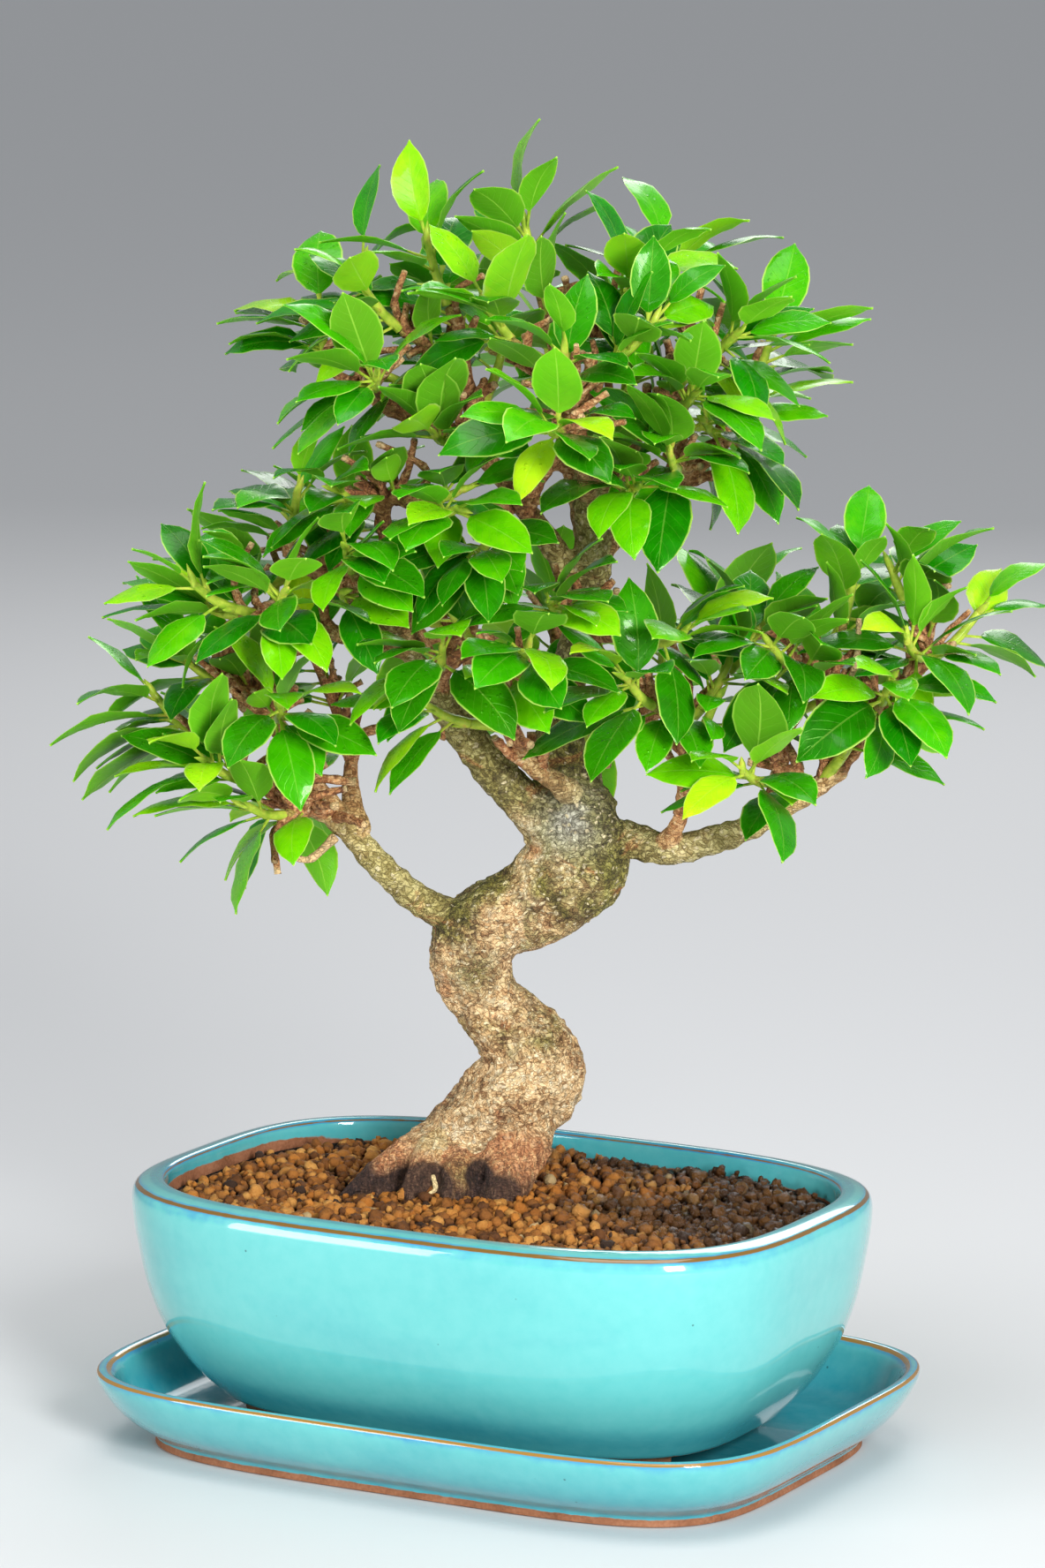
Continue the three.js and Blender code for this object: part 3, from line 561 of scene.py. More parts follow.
grain_y = np.concatenate([grain_y, grain_y[again] + rng.uniform(-2, 2, len(again))])
grain_size = GRAINS["radius"][0] + np.ptp(GRAINS["radius"]) * rng.uniform(0, 1, len(grain_x)) ** 1.7
room = SOIL_WALL[-1][0] + 0.7 + grain_size
fits = reach_out(POT, grain_x, grain_y, room) < 1
grain_x, grain_y, grain_size, lift = grain_x[fits], grain_y[fits], grain_size[fits], lift[fits]
steps = np.linspace(-1, 1, GRAINS["sides"])
u, v = np.meshgrid(steps, steps, indexing="ij")
face = np.stack([np.ones(u.size), u.ravel(), v.ravel()], -1)
cube = np.concatenate([np.roll(face * (sign, sign, 1), turn, axis=1) for sign in (1, -1) for turn in (0, 1, 2)])
ball, first, back = np.unique(np.round(cube, 6), axis=0, return_index=True, return_inverse=True)
i, j = np.meshgrid(np.arange(GRAINS["sides"] - 1), np.arange(GRAINS["sides"] - 1), indexing="ij")
corner = (i * GRAINS["sides"] + j).ravel()
patch = np.stack([corner, corner + GRAINS["sides"], corner + GRAINS["sides"] + 1, corner + 1], -1)
ball_faces = back.ravel()[np.concatenate([patch + k * GRAINS["sides"] ** 2 for k in range(6)])]
ball = ball / np.linalg.norm(ball, axis=1)[:, None]
count = len(grain_x)
axes = np.linalg.qr(rng.normal(size=(count, 3, 3)))[0]
axes = axes * np.linalg.det(axes)[:, None, None]
stretch = rng.uniform(0.78, 1.2, (count, 1, 3))
lumps = 1 + 0.2 * np.sin(2.6 * ball @ rng.normal(size=(count, 3, 1)) + rng.uniform(0, 6, (count, 1, 1)))
lumps += 0.12 * np.sin(4.5 * ball @ rng.normal(size=(count, 3, 1)) + rng.uniform(0, 6, (count, 1, 1)))
grain_points = ((ball[None] * lumps) * stretch * grain_size[:, None, None]) @ axes
grain_z = soil_height(grain_x, grain_y) + lift
grain_points += np.stack([grain_x + POT_SHIFT[0], grain_y + POT_SHIFT[1], grain_z], -1)[:, None]
grain_faces = (ball_faces[None] + np.arange(count)[:, None, None] * len(ball)).reshape(-1, 4)
soil_grains = mesh_piece("soil_grains", grain_points.reshape(-1, 3), [grain_faces])
level = np.repeat(soil_height(grain_x, grain_y), len(ball))
# Painted shade: the grains are darkened where they lie low, down in the gaps between them.
sunk = np.clip((level + 1.6 - grain_points[..., 2].ravel()) / 2.4, 0, 1)
tone, odd = (np.repeat(rng.uniform(0, 1, count), len(ball)) for _ in range(2))
mark(soil_grains, sunk=sunk, tone=tone, odd=odd)
# The bed is painted all over in the shade colour of the gaps.
even = np.ones(len(soil_bed.data.vertices))
mark(soil_bed, sunk=even, tone=0.1 * even, odd=0 * even)

fired_grain, tree, shader, where = material("clay_grains")
east, north, _ = east_north_up(where)
damp = step(east * 7.0 + north * 4.5 + noise(where, 30, 3) * 1.2 - 0.72, -0.1, 0.45)
tone = noise(where, 420, 3) * 0.35 + layer(tree, "tone") * 0.95 - 0.17
dry = ramp(
    tone, (0.0, paint(88, 50, 16)), (0.3, paint(136, 82, 28)), (0.55, paint(170, 107, 40)),
    (0.8, paint(190, 127, 54)), (1.0, paint(214, 158, 82)),
)
dry = mixed(layer(tree, "odd") > 0.988, dry, paint(188, 160, 112))
dry = mixed(layer(tree, "odd") < 0.025, dry, paint(56, 34, 18))
rusty = maths("COMPARE", layer(tree, "odd"), 0.3, 0.1)
dry = mixed(rusty * 0.4, dry, paint(200, 120, 32))
soaked = mixed(0.85, dry, paint(40, 24, 7))
# Painted shade: the low parts of the grains and the bed below go near black, as the shade in the gaps.
shown = mixed(layer(tree, "sunk") * 0.95, mixed(damp, dry, soaked), paint(26, 12, 6))
feed(
    shader, Base_Color=shown, Roughness=step(damp, 0, 1, 0.72, 0.16), Specular_IOR_Level=0.4,
    Normal=relief(noise(where, 900, 4, 0.65), 0.0012, 0.9),
)
finish_piece(soil_bed, fired_grain, "clay_grains", "soil")
finish_piece(soil_grains, fired_grain, "clay_grains", "soil")

# Wood: the swept S-shaped trunk of an old fig, with its surface roots, branches and brown twigs, all
# one growth. The bark is tan and flaky low down, green with moss higher up and reddish on the twigs.
TRUNK = [  # x, y, z and radius in the tree's own frame, whose x runs to the right of its front
    (-6, 3, -28, 14), (-5, 3, -8, 17), (-1, 2, 8, 17.5), (10, 0, 21, 18.2), (18, -2, 30.5, 18.2),
    (26, -2, 38.5, 18), (25, -2, 47, 16.4), (18, -1, 56.5, 13), (9, 0, 66.5, 11.8),
    (4.5, 1, 77, 14), (4, 1, 87, 15.3), (12, 1, 94.5, 15), (22, 1, 99, 15), (32, 0, 105.5, 15.8),
    (40, 0, 115, 17), (41.4, 0, 128, 15.2), (39.5, 1, 141, 10.5),
]
ROOTS = [
    [(-4, -3, 14, 12), (-20, -8, 7, 9), (-33, -12, 1, 6.5), (-46, -16, -8, 4)],
    [(21, -6, 25, 12), (17, -14, 13, 10.5), (12.5, -22, 2, 9), (8, -29, -11, 6)],
    [(3, -5, 13, 12), (-2, -16, 5, 9), (-6, -25, -7, 5.5)],
    [(6, 8, 6, 10), (21, 21, -9, 6.5), (36, 30, -12, 5), (46, 36, -14, 3.5)],
    [(-4, 8, 8, 11), (-14, 22, 2, 7), (-22, 32, -7, 4.5)],
]
BRANCHES = {
    "low_left": [
        (6, 1, 93, 7.5), (-6, -1, 97.5, 6), (-15, -2, 103, 5.4), (-27, -4, 114, 4.8), (-39, -6, 128, 4.2),
        (-47, -9, 135, 3.5), (-58, -12, 140, 2.9), (-74, -15, 150, 2.4),
    ],
    "low_left_rear": [(-35, -6, 127, 3.6), (-38, 0, 141, 2.9), (-38, 6, 154, 2.3), (-42, 10, 164, 1.9)],
    "low_left_mid": [(-41, -7, 132, 3.3), (-52, -9, 148, 2.7), (-61, -8, 161, 2.1), (-68, -6, 172, 1.8)],
    "left": [
        (36, -2, 122, 9), (24, -4, 135, 7.4), (10, -6, 151, 6.6), (-2, -8, 168, 5.8),
        (-14, -10, 188, 4.8), (-27, -12, 203, 3.9), (-43, -13, 215, 3.1), (-58, -13, 225, 2.4),
    ],
    "left_low": [(-16, -10, 191, 3.6), (-36, -22, 197, 2.8), (-55, -28, 202, 2.3), (-72, -31, 206, 1.9)],
    "left_up": [(-16, -10, 190, 3.6), (-21, -15, 210, 3), (-24, -20, 228, 2.5), (-26, -24, 240, 2.1)],
    "left_rear": [(-14, -9, 187, 3.4), (-28, 8, 199, 2.8), (-42, 22, 208, 2.3), (-54, 30, 214, 1.9)],
    "leader": [
        (40, 2, 132, 12), (35, 4, 152, 8.6), (36, 6, 172, 7.4), (42, 6, 194, 6.6), (46, 4, 218, 5.8),
        (45, 2, 238, 5.1), (42, 0, 257, 4.2), (38, 0, 274, 3.3), (34, 0, 288, 2.6),
    ],
    "leader_left": [
        (44, 5, 204, 5), (33, 2, 224, 4.2), (20, 0, 242, 3.5), (9, -2, 258, 3), (4, -4, 274, 2.5),
        (2, -4, 290, 2.1),
    ],
    "crown_left": [(11, -2, 255, 3), (-10, -6, 268, 2.5), (-28, -8, 279, 2.1), (-44, -9, 287, 1.8)],
    "crown_right": [(45, 2, 236, 3.8), (56, 4, 256, 3), (67, 4, 272, 2.5), (76, 2, 286, 2)],
    "crown_far_right": [(46, 4, 220, 3.6), (61, 8, 235, 2.8), (77, 8, 247, 2.4), (91, 4, 260, 1.9)],
    "crown_front": [(44, 2, 242, 3.4), (43, -17, 255, 2.8), (41, -34, 267, 2.3), (37, -46, 279, 1.9)],
    "crown_rear": [(44, 4, 226, 3.6), (40, 24, 242, 3), (36, 42, 258, 2.4), (33, 56, 272, 2)],
    "front": [
        (42, -4, 137, 5), (33, -15, 146, 3.7), (23, -23, 155, 3.2), (18, -29, 168, 2.7), (17, -33, 181, 2.2),
    ],
    "right": [
        (44, -1, 122, 8), (58, -3, 124, 6), (68, -5, 121.5, 5.4), (82, -8, 123, 4.9), (100, -12, 130, 4.4),
        (117, -15, 140.5, 3.8), (128, -17, 149, 3.3), (129, -18, 160, 2.7), (127, -18, 174, 2.2),
    ],
    "right_out": [(129, -17, 149, 2.9), (139, -16, 164, 2.4), (150, -13, 176, 2.1), (160, -11, 186, 1.8)],
    "right_rear": [(104, -13, 131, 3), (110, 0, 144, 2.5), (113, 14, 158, 2.1), (116, 26, 170, 1.8)],
    "right_near": [(70, -6, 121, 3.4), (76, -16, 134, 2.5), (78, -20, 149, 2.1), (77, -22, 162, 1.8)],
    "rear": [(42, 6, 127, 8), (45, 24, 134, 5.2), (44, 44, 144, 4.2), (40, 62, 157, 3.2), (35, 76, 170, 2.3)],
    "rear_left": [(43, 48, 147, 3.2), (26, 60, 162, 2.5), (8, 66, 177, 1.9)],
    "rear_right": [(44, 40, 142, 3.2), (63, 54, 156, 2.5), (80, 60, 170, 1.9)],
}
SHOOTS = {  # the branch, how far along it the twig leaves, and where the brown twig ends
    "crown": [
        ("leader_left", 1.0, -4, -4, 309), ("leader", 1.0, 27, 6, 315), ("leader", 1.0, 50, -10, 308),
        ("leader_left", 0.8, -20, -14, 302), ("crown_left", 0.7, -34, 6, 306),
        ("crown_left", 1.0, -46, -6, 293), ("crown_left", 0.6, -28, -34, 284),
        ("crown_right", 1.0, 74, 14, 308),
        ("crown_right", 1.0, 84, -8, 292), ("crown_far_right", 1.0, 102, 8, 282),
        ("crown_far_right", 1.0, 88, -12, 266), ("crown_far_right", 0.6, 74, -28, 256),
        ("left_up", 0.9, -8, -54, 244), ("crown_front", 0.8, 18, -34, 300), ("crown_front", 1.0, 52, -48, 294),
        ("crown_front", 0.7, 34, -62, 272), ("leader_left", 0.6, -4, -34, 266),
        ("crown_right", 0.5, 76, -32, 278),
        ("leader", 0.66, 56, -34, 250), ("crown_rear", 0.9, 52, 44, 296), ("crown_rear", 0.9, 10, 46, 290),
        ("crown_rear", 1.0, 34, 72, 276), ("crown_rear", 0.5, 74, 44, 260),
    ],
    "left": [
        ("left_up", 1.0, -10, -34, 246), ("left_up", 1.0, -32, -30, 244), ("left", 1.0, -58, -14, 230),
        ("left_low", 1.0, -74, -30, 206), ("left_low", 0.8, -62, -46, 210), ("left", 0.7, -36, -48, 224),
        ("leader_left", 0.3, 10, -40, 232), ("left_rear", 0.8, -42, 36, 222), ("left_rear", 1.0, -60, 26, 212),
        ("left", 0.45, -6, -42, 190),
    ],
    "low_left": [
        ("low_left_mid", 1.0, -82, -8, 180), ("low_left", 1.0, -90, -16, 162), ("low_left", 0.8, -76, -32, 150),
        ("low_left", 0.6, -60, -24, 136), ("low_left_mid", 0.7, -62, -28, 170),
        ("low_left_rear", 1.0, -46, 16, 174),
    ],
    "middle": [
        ("leader", 0.35, 34, -40, 208), ("front", 1.0, 20, -46, 190), ("leader", 0.3, 66, -30, 196),
        ("right_near", 1.0, 66, -38, 176), ("rear_left", 1.0, -4, 72, 186), ("rear_right", 1.0, 90, 68, 182),
        ("rear", 1.0, 34, 88, 184),
    ],
    "right": [
        ("right_near", 1.0, 92, -16, 184), ("right", 1.0, 114, -28, 188), ("right", 1.0, 132, -8, 200),
        ("right_out", 1.0, 154, -4, 206), ("right_out", 1.0, 158, -20, 190), ("right_out", 0.3, 144, -30, 176),
        ("right", 0.62, 104, -40, 150), ("right_rear", 1.0, 124, 34, 180),
    ],
}
UP = np.array([0.0, 0.0, 1.0])
TWIG = {"start_radius": 2.5, "end_radius": 1.8, "along_branch": 0.3, "rise": 0.12}
SHOOT = {"length": (11, 18), "radii": (1.8, 1.6, 1.3), "lift": 0.3, "gap": 0.3}
SEED = 7
VOXEL = 1.1
SILVER = (38, -14, 133, 12)  # a weathered grey patch: its place and width
BARE_WOOD = (17, -13, 96, 13)  # the front of the upper bend has no moss
HOLLOWS = [  # between the roots, where the bark is also painted dark as shade: place, width, depth
    (11, -20, 15, 3.5, 4), (7, -23, 9, 3.5, 6), (2.5, -26, 2, 3, 5), (3, -19, 17, 5, 2.5),
    (-7.5, -21, 6, 3.2, 3), (-20, -15.5, 7, 4, 4),
]
ROOT_STAINS_AND_SHADE = [  # dark damp root ends, and painted shade between the roots: place, width
    (-14, -23, 5, 8.5), (-38, -17, 3, 11), (-24, -18, 1, 4.5), (14, -30, 3, 8.5), (6, -24, 10, 4),
    (-7, -23, 6, 5),
]
MOSSY = [(1.5, -25, 9, 6.5), (5, -14, 79, 9), (43, -8, 101, 11)]  # place, width
FOLDS = [  # ridges on the front of the root stock
    [(26, -8, 27, 9), (21.5, -17, 14, 8), (14.5, -25, 4, 7.5), (8, -31, -8, 6)],
    [(-8, -10, 18, 6), (-13, -17, 8, 6.5), (-15.5, -23, 0, 5.5), (-17, -25, -8, 4)],
    [(3, -14, 15, 7), (0, -21, 8, 7), (-1.5, -26, -2, 6.5)],
]


def unit(v):
    """The vectors made 1 long."""
    return v / np.linalg.norm(v, axis=-1, keepdims=True)


def dice(seed):
    """A repeatable stream of numbers from 0 to 1: the same one that the solids were grown with."""
    full = 0xFFFFFFFF
    state = seed
    while True:
        state = (state + 0x6D2B79F5) & full
        t = ((state ^ (state >> 15)) * (state | 1)) & full
        t ^= (t + (((t ^ (t >> 7)) * (t | 61)) & full)) & full
        yield (t ^ (t >> 14)) / 4294967296


def in_place(points):
    """Points of the tree's own frame turned and moved to where it stands in the pot."""
    turn = math.radians(TREE_PLACE["turn"])
    spin = np.array([[math.cos(turn), math.sin(turn), 0], [-math.sin(turn), math.cos(turn), 0], [0, 0, 1]])
    move = (TREE_PLACE["x"] + POT_SHIFT[0], TREE_PLACE["y"] + POT_SHIFT[1], TREE_PLACE["z"])
    return points @ spin + move


def twig_path(branch, share, *end):
    """A twig leaves along its branch and curves out: a quadratic Bezier line through three points."""
    path = np.array(BRANCHES[branch], float)
    start = along(path, share)
    later = min(1, share + 0.05)
    heading = unit(along(path, later)[:3] - along(path, later - 0.05)[:3])
    reach = np.linalg.norm(end - start[:3])
    bend = start[:3] + heading * TWIG["along_branch"] * reach + UP * TWIG["rise"] * reach
    radius = min(start[3] * 0.85, TWIG["start_radius"])
    t = np.array([[0.0], [0.5], [1.0]])
    line = (1 - t) ** 2 * start[:3] + 2 * t * (1 - t) * bend + t * t * np.array(end)
    return np.hstack([line, radius + (TWIG["end_radius"] - radius) * t])


def shoot_path(twig, roll):
    """A green shoot goes on from its twig and bends up by the square of the way along it."""
    heading = unit(twig[2, :3] - twig[1, :3])
    low, high = SHOOT["length"]
    reach = low + (high - low) * next(roll)
    share = np.array([[0.0], [0.5], [1.0]])
    line = twig[2, :3] + heading * (SHOOT["gap"] + share * reach) + UP * SHOOT["lift"] * reach * share * share
    return np.hstack([line, np.array(SHOOT["radii"])[:, None]])


def limb(path, sides, spacing, swell=None, flare=0.0, knots=0.0):
    """Rings round a tapered line: centre + r (cos a side + sin a other), with r swelling as asked."""
    path = np.asarray(path, float)
    length = np.linalg.norm(np.diff(path[:, :3], axis=0), axis=1).sum()
    share = np.linspace(0, 1, max(3, round(length / spacing) + 1))
    p = along(path, share)
    ahead = unit(np.gradient(p[:, :3], axis=0))
    axis = np.eye(3)[np.argmin(abs(ahead).max(0))]
    other = unit(axis - (ahead @ axis)[:, None] * ahead)
    side = np.cross(other, ahead)
    a = np.linspace(0, 2 * np.pi, sides, endpoint=False)
    grown = 1 + flare * np.exp(-share * length / 7) + knots * np.sin(share * length * 0.55 + path[0, 0]) ** 6
    r = (p[:, 3] * grown)[:, None] * (swell(a, share[:, None]) if swell else 1)
    out, over = (r * np.cos(a))[..., None], (r * np.sin(a))[..., None]
    return p[:, None, :3] + side[:, None] * out + other[:, None] * over


def trunk_swell(a, share):
    """The trunk is uneven round its section, and the unevenness winds as it rises."""
    return 1 + 0.05 * np.sin(2 * a + 16.8 * share) + 0.035 * np.sin(5 * a - 27.3 * share)


def root_swell(a, share):
    """A root is ribbed by three soft ridges that wind along it."""
    return 1 + 0.12 * np.sin(3 * a + 5 * share)


def near(points, x, y, z, width):
    """A bell curve round a point of the tree's own frame: e^-(distance / width)^2."""
    return np.exp(-((points - in_place(np.array([x, y, z]))) ** 2).sum(1) / width**2)


shoots = []
for region, rows in SHOOTS.items():
    for row in rows:
        roll = dice(SEED * 1000 + len(shoots))
        twig = twig_path(*row)
        shoots.append({"region": region, "roll": roll, "twig": twig, "stem": shoot_path(twig, roll)})

limbs = [limb(TRUNK, 48, 2, trunk_swell)]
limbs += [limb(path, 20, 2, root_swell) for path in ROOTS + FOLDS[:2]]
limbs += [limb(path, 16, 2) for path in FOLDS[2:]]
limbs += [limb(path, 16, 2, flare=0.3, knots=0.12) for path in BRANCHES.values()]
limbs += [limb(shoot["twig"], 10, 1.5, flare=0.25, knots=0.2) for shoot in shoots]
wood = bundle("trunk_and_branches", [in_place(loops) for loops in limbs])
grown = wood.modifiers.new("grown", "REMESH")
grown.mode = "VOXEL"
grown.voxel_size = VOXEL * MM
eased = wood.modifiers.new("eased", "SMOOTH")
eased.factor = 0.5
eased.iterations = 2
settled(wood)

paths = [np.array(TRUNK, float)] + [np.array(path, float) for path in (*ROOTS, *FOLDS[:2], *BRANCHES.values())]
paths += [shoot["twig"] for shoot in shoots]
kinds = [0] + [1] * (len(ROOTS) + 2) + [2] * len(BRANCHES) + [3] * len(shoots)  # trunk, root, branch, twig
shares = [np.linspace(0, 1, 60 if kind < 3 else 14) for kind in kinds]
cores = np.concatenate([along(path, share) for path, share in zip(paths, shares)])
core_kind = np.repeat(kinds, [len(share) for share in shares])
core_share = np.concatenate(shares)
core_place = in_place(cores[:, :3])
count = len(wood.data.vertices)
flat = np.empty(count * 3)
wood.data.vertices.foreach_get("co", flat)
skin = flat.reshape(-1, 3) / MM
normals = np.empty(count * 3)
wood.data.vertex_normals.foreach_get("vector", normals)
normals = normals.reshape(-1, 3)
nearest = []
for part in np.array_split(skin, 40):
    square = (part**2).sum(1)[:, None] + (core_place**2).sum(1) - 2 * part @ core_place.T
    nearest.append(np.argmin(np.sqrt(np.maximum(square, 0)) - cores[:, 3], axis=1))
nearest = np.concatenate(nearest)
girth = cores[nearest, 3]
thick = np.clip((girth - 2.5) / 9, 0, 1)
lumps = lattice_noise(skin, 9, 21) * np.minimum(0.07 * girth, 0.9)
lumps += lattice_noise(skin, 4, 22) * np.minimum(0.12 * girth, 0.6)
fine = lattice_noise(skin * (1, 1, 0.6), 2.2, 23)
cracks = np.clip(1 - abs(lattice_noise(skin * (1, 1, 0.55), 3.4, 24)) / 0.16, 0, 1)
nubs = np.clip(lattice_noise(skin, 2.7, 25) - 0.2, 0, 1) * 1.1
hollow, root_stain_and_shade, mossy = np.zeros((3, count))
turn = math.radians(TREE_PLACE["turn"])
FRONT = np.array([math.sin(turn), -math.cos(turn), 0])
ACROSS_VIEW = np.eye(3) - 0.6 * np.outer(FRONT, FRONT)  # counts depth seen from the front for less
for *spot, deep in HOLLOWS:
    hollow += deep * near(skin, *spot)
for x, y, z, wide in ROOT_STAINS_AND_SHADE:
    aside = (skin - in_place(np.array([x, y, z]))) @ ACROSS_VIEW
    root_stain_and_shade += np.exp(-((aside**2).sum(1) / wide**2))
for spot in MOSSY:
    mossy += near(skin, *spot)
bare_wood = near(skin, *BARE_WOOD)
rise = lumps - hollow + 0.2 * fine * (0.3 + thick) + nubs * (0.4 + 0.6 * thick) - 0.5 * cracks * thick
skin = skin + normals * rise[:, None]
wood.data.vertices.foreach_set("co", (skin * MM).ravel())
wood.data.update()
mark(
    wood, girth=girth, root=(core_kind[nearest] == 1) * np.clip(core_share[nearest] * 1.6 - 0.15, 0, 1),
    twig=np.clip((4.6 - girth) / 2.2, 0, 1), tip=(core_kind[nearest] == 3) * core_share[nearest],
    crack=cracks * thick, hollow=np.clip(hollow / 8 + root_stain_and_shade * 1.3, 0, 1), mossy=mossy, bare_wood=bare_wood,
    pale=np.zeros(count), silver=near(skin, *SILVER),
)

bark, tree, shader, where = material("bark")
_, _, height = east_north_up(where)
cloud = noise(where, 45, 5, 0.6, 0.4)
grain = noise(where, 620, 4, 0.72)
warped = node(tree, "ShaderNodeTexNoise", {"Vector": where, "Scale": 260, "Detail": 2.0}, "Color")
warped = node(tree, "ShaderNodeVectorMath", {0: warped, "Scale": 0.0045}, operation="SCALE")
strewn = squeezed(node(tree, "ShaderNodeVectorMath", {0: where, 1: warped}, operation="ADD"), 1.35)
flake = cell_draw(strewn, 520)
seam = step(cells(strewn, 520, "DISTANCE_TO_EDGE"), 0.02, 0.16, 1, 0)
tone = cloud * 0.4 + grain * 0.4 + seam * -0.05 + flake * 0.17 + 0.02
tan = ramp(
    tone, (0.34, paint(122, 84, 50)), (0.41, paint(184, 140, 92)), (0.48, paint(222, 184, 132)),
    (0.56, paint(242, 210, 160)), (0.66, paint(255, 238, 202)),
)
green = ramp(
    tone, (0.34, paint(50, 44, 14)), (0.41, paint(96, 88, 32)), (0.48, paint(130, 120, 48)),
    (0.56, paint(158, 148, 76)), (0.66, paint(210, 200, 140)),
)
drift = noise(where, 24, 4, 0.6, 0.6) * 0.34 + height + layer(tree, "bare_wood") * -0.06
colour = mixed(step(drift, 0.305, 0.372), tan, green)
ash = step(noise(where, 34, 4, 0.55, 0.5), 0.52, 0.64)
old = step(layer(tree, "girth"), 5.0, 9.0, 0.3, 1.0)  # branches are less grey and mossy than the trunk
ash = ash * old * step(height, 0.15, 0.19, 0, 0.5)
ash = clamped(larger(layer(tree, "silver"), ash))
silver = ramp(tone, (0.36, paint(92, 88, 74)), (0.5, paint(158, 154, 138)), (0.64, paint(206, 202, 186)))
colour = mixed(ash, colour, silver)
moss = step(noise(where, 52, 5, 0.62, 0.7), 0.52, 0.62)
moss = moss * old * step(height, 0.13, 0.16, 0, 0.62)
moss = clamped(larger(moss, layer(tree, "mossy") * step(grain, 0.35, 0.55, 0.45, 0.85)))
colour = mixed(moss, colour, mixed(step(tone, 0.4, 0.6), paint(66, 62, 20), paint(136, 130, 54)))
limb_bark = step(layer(tree, "girth"), 4.5, 9.0, 0.52, 0)
colour = mixed(limb_bark, colour, mixed(step(tone, 0.38, 0.6), paint(150, 130, 70), paint(232, 214, 150)))
rust = step(noise(where, 38, 5, 0.6, 1.4), 0.57, 0.66)
colour = mixed(rust * 0.55, colour, ramp(tone, (0.4, paint(150, 80, 40)), (0.6, paint(226, 158, 100))))
pore = step(cells(strewn, 400), 0.24, 0.4, 1, 0) * (cell_draw(strewn, 400, 1) > 0.62)
colour = mixed(pore * 0.7, colour, paint(240, 222, 178))
reddish = ramp(
    flake * 0.16 + grain * 0.5 + cloud * 0.34, (0.36, paint(106, 62, 36)), (0.47, paint(172, 112, 68)),
    (0.56, paint(212, 156, 104)), (0.68, paint(244, 210, 164)),
)
colour = mixed(layer(tree, "twig"), colour, reddish)
colour = mixed(step(layer(tree, "tip"), 0.6, 1.0, 0, 0.75), colour, paint(168, 158, 70))
fibre = noise(squeezed(where, 0.22), 800, 3, 0.6, 0.5)
leg = ramp(fibre, (0.35, paint(134, 76, 44)), (0.5, paint(190, 122, 76)), (0.66, paint(236, 184, 128)))
dark_root_colour = ramp(fibre, (0.35, paint(26, 15, 13)), (0.55, paint(56, 36, 31)), (0.72, paint(98, 68, 54)))
lower = cloud * 0.022 + height
on_root = layer(tree, "root")
colour = mixed(step(on_root, 0.05, 0.3) * step(lower, 0.118, 0.132, 0.85, 0), colour, leg)
mossy_foot = layer(tree, "mossy") * step(height, 0.11, 0.13, 0.9, 0)
colour = mixed(
    mossy_foot, colour,
    ramp(fibre, (0.35, paint(48, 40, 16)), (0.52, paint(98, 86, 38)), (0.68, paint(168, 150, 84))),
)
dark_end = larger(step(lower, 0.092, 0.102, 0.85, 0), on_root * step(lower, 0.096, 0.108, 1.0, 0))
# Painted shade in the hollows between the roots, together with the dark damp root ends.
root_ends_and_hollow_shade = step(layer(tree, "hollow"), 0.25, 0.75) * step(cloud, 0.35, 0.6, 1.0, 0.93)
dark_end = larger(dark_end, root_ends_and_hollow_shade)
colour = mixed(dark_end, colour, dark_root_colour)
crease = step(abs(noise(where, 150, 5, 0.65, 1.2) - 0.5), 0.0, 0.02, 1, 0) * step(layer(tree, "girth"), 3, 9)
dark = larger(crease * 0.5, layer(tree, "crack") * 0.45)
colour = mixed(dark, colour, paint(70, 50, 32))
colour = mixed(layer(tree, "pale"), colour, paint(236, 212, 156))
rough_skin = grain * 0.5 + crease * -0.35 + pore * 0.4 + seam * -0.35 + flake * 0.3
feed(
    shader, Base_Color=colour, Roughness=step(cloud, 0.3, 0.7, 0.72, 0.92),
    Normal=relief(rough_skin, 0.0012, 0.9),
)
finish_piece(wood, bark, "bark", "trunk")

# Leafy shoots: green shoots on the brown twigs, each with leaves set round it in a spiral. A leaf is
# leathery and glossy, folded a little on its midrib and bent down, with a pale stalk and margin.
REGIONS = ("crown", "left", "low_left", "middle", "right")
LEAF = {"petiole": (6, 9), "blade": (29, 40), "aspect": (0.48, 0.58), "bend": (20, 60)}
LEAF_SPREAD = (78, 40)  # degrees from the shoot, for its lowest and highest leaf
LEAF_DRAWS = ("spread", "roll", "petiole", "blade", "aspect", "bend", "azimuth")
LEAF_SIZES = (1, 0.85, 0.7)
LEAF_TRIES = (0, 28, -28, 56, -56, 84, -84, 112, -112, 140, -140, 168)
LEAVES_PER_SHOOT = 5
LOWEST_LEAF = 0.15
GOLDEN_ANGLE = 137.5
CROWN_AXIS = (36, 0)
CLEAR = {"leaf": 4.7, "own_leaf": 3, "wood": 3.2, "reach": 40}
CAD_OUTLINE = ((0, 0.1), (0.22, 0.74), (0.45, 1), (0.62, 0.92), (0.8, 0.6), (0.92, 0.2), (1, 0))
PROBE_SHARES = np.array([0.06, 0.18, 0.3, 0.42, 0.54, 0.66, 0.78, 0.9, 1])
EXTRA = {"on_twig": 3, "on_stem": 3, "slack": 2.0, "shoots": 46, "leaves": 5, "clear": 2.4, "seed": 23}
BLADE_SHARES = np.array([0.015, 0.09, 0.22, 0.38, 0.54, 0.69, 0.81, 0.9, 0.955, 1.0])
BLADE_WIDTHS = np.array([0.12, 0.5, 0.86, 1.0, 0.97, 0.82, 0.58, 0.29, 0.12, 0.03])  # with a fine tip
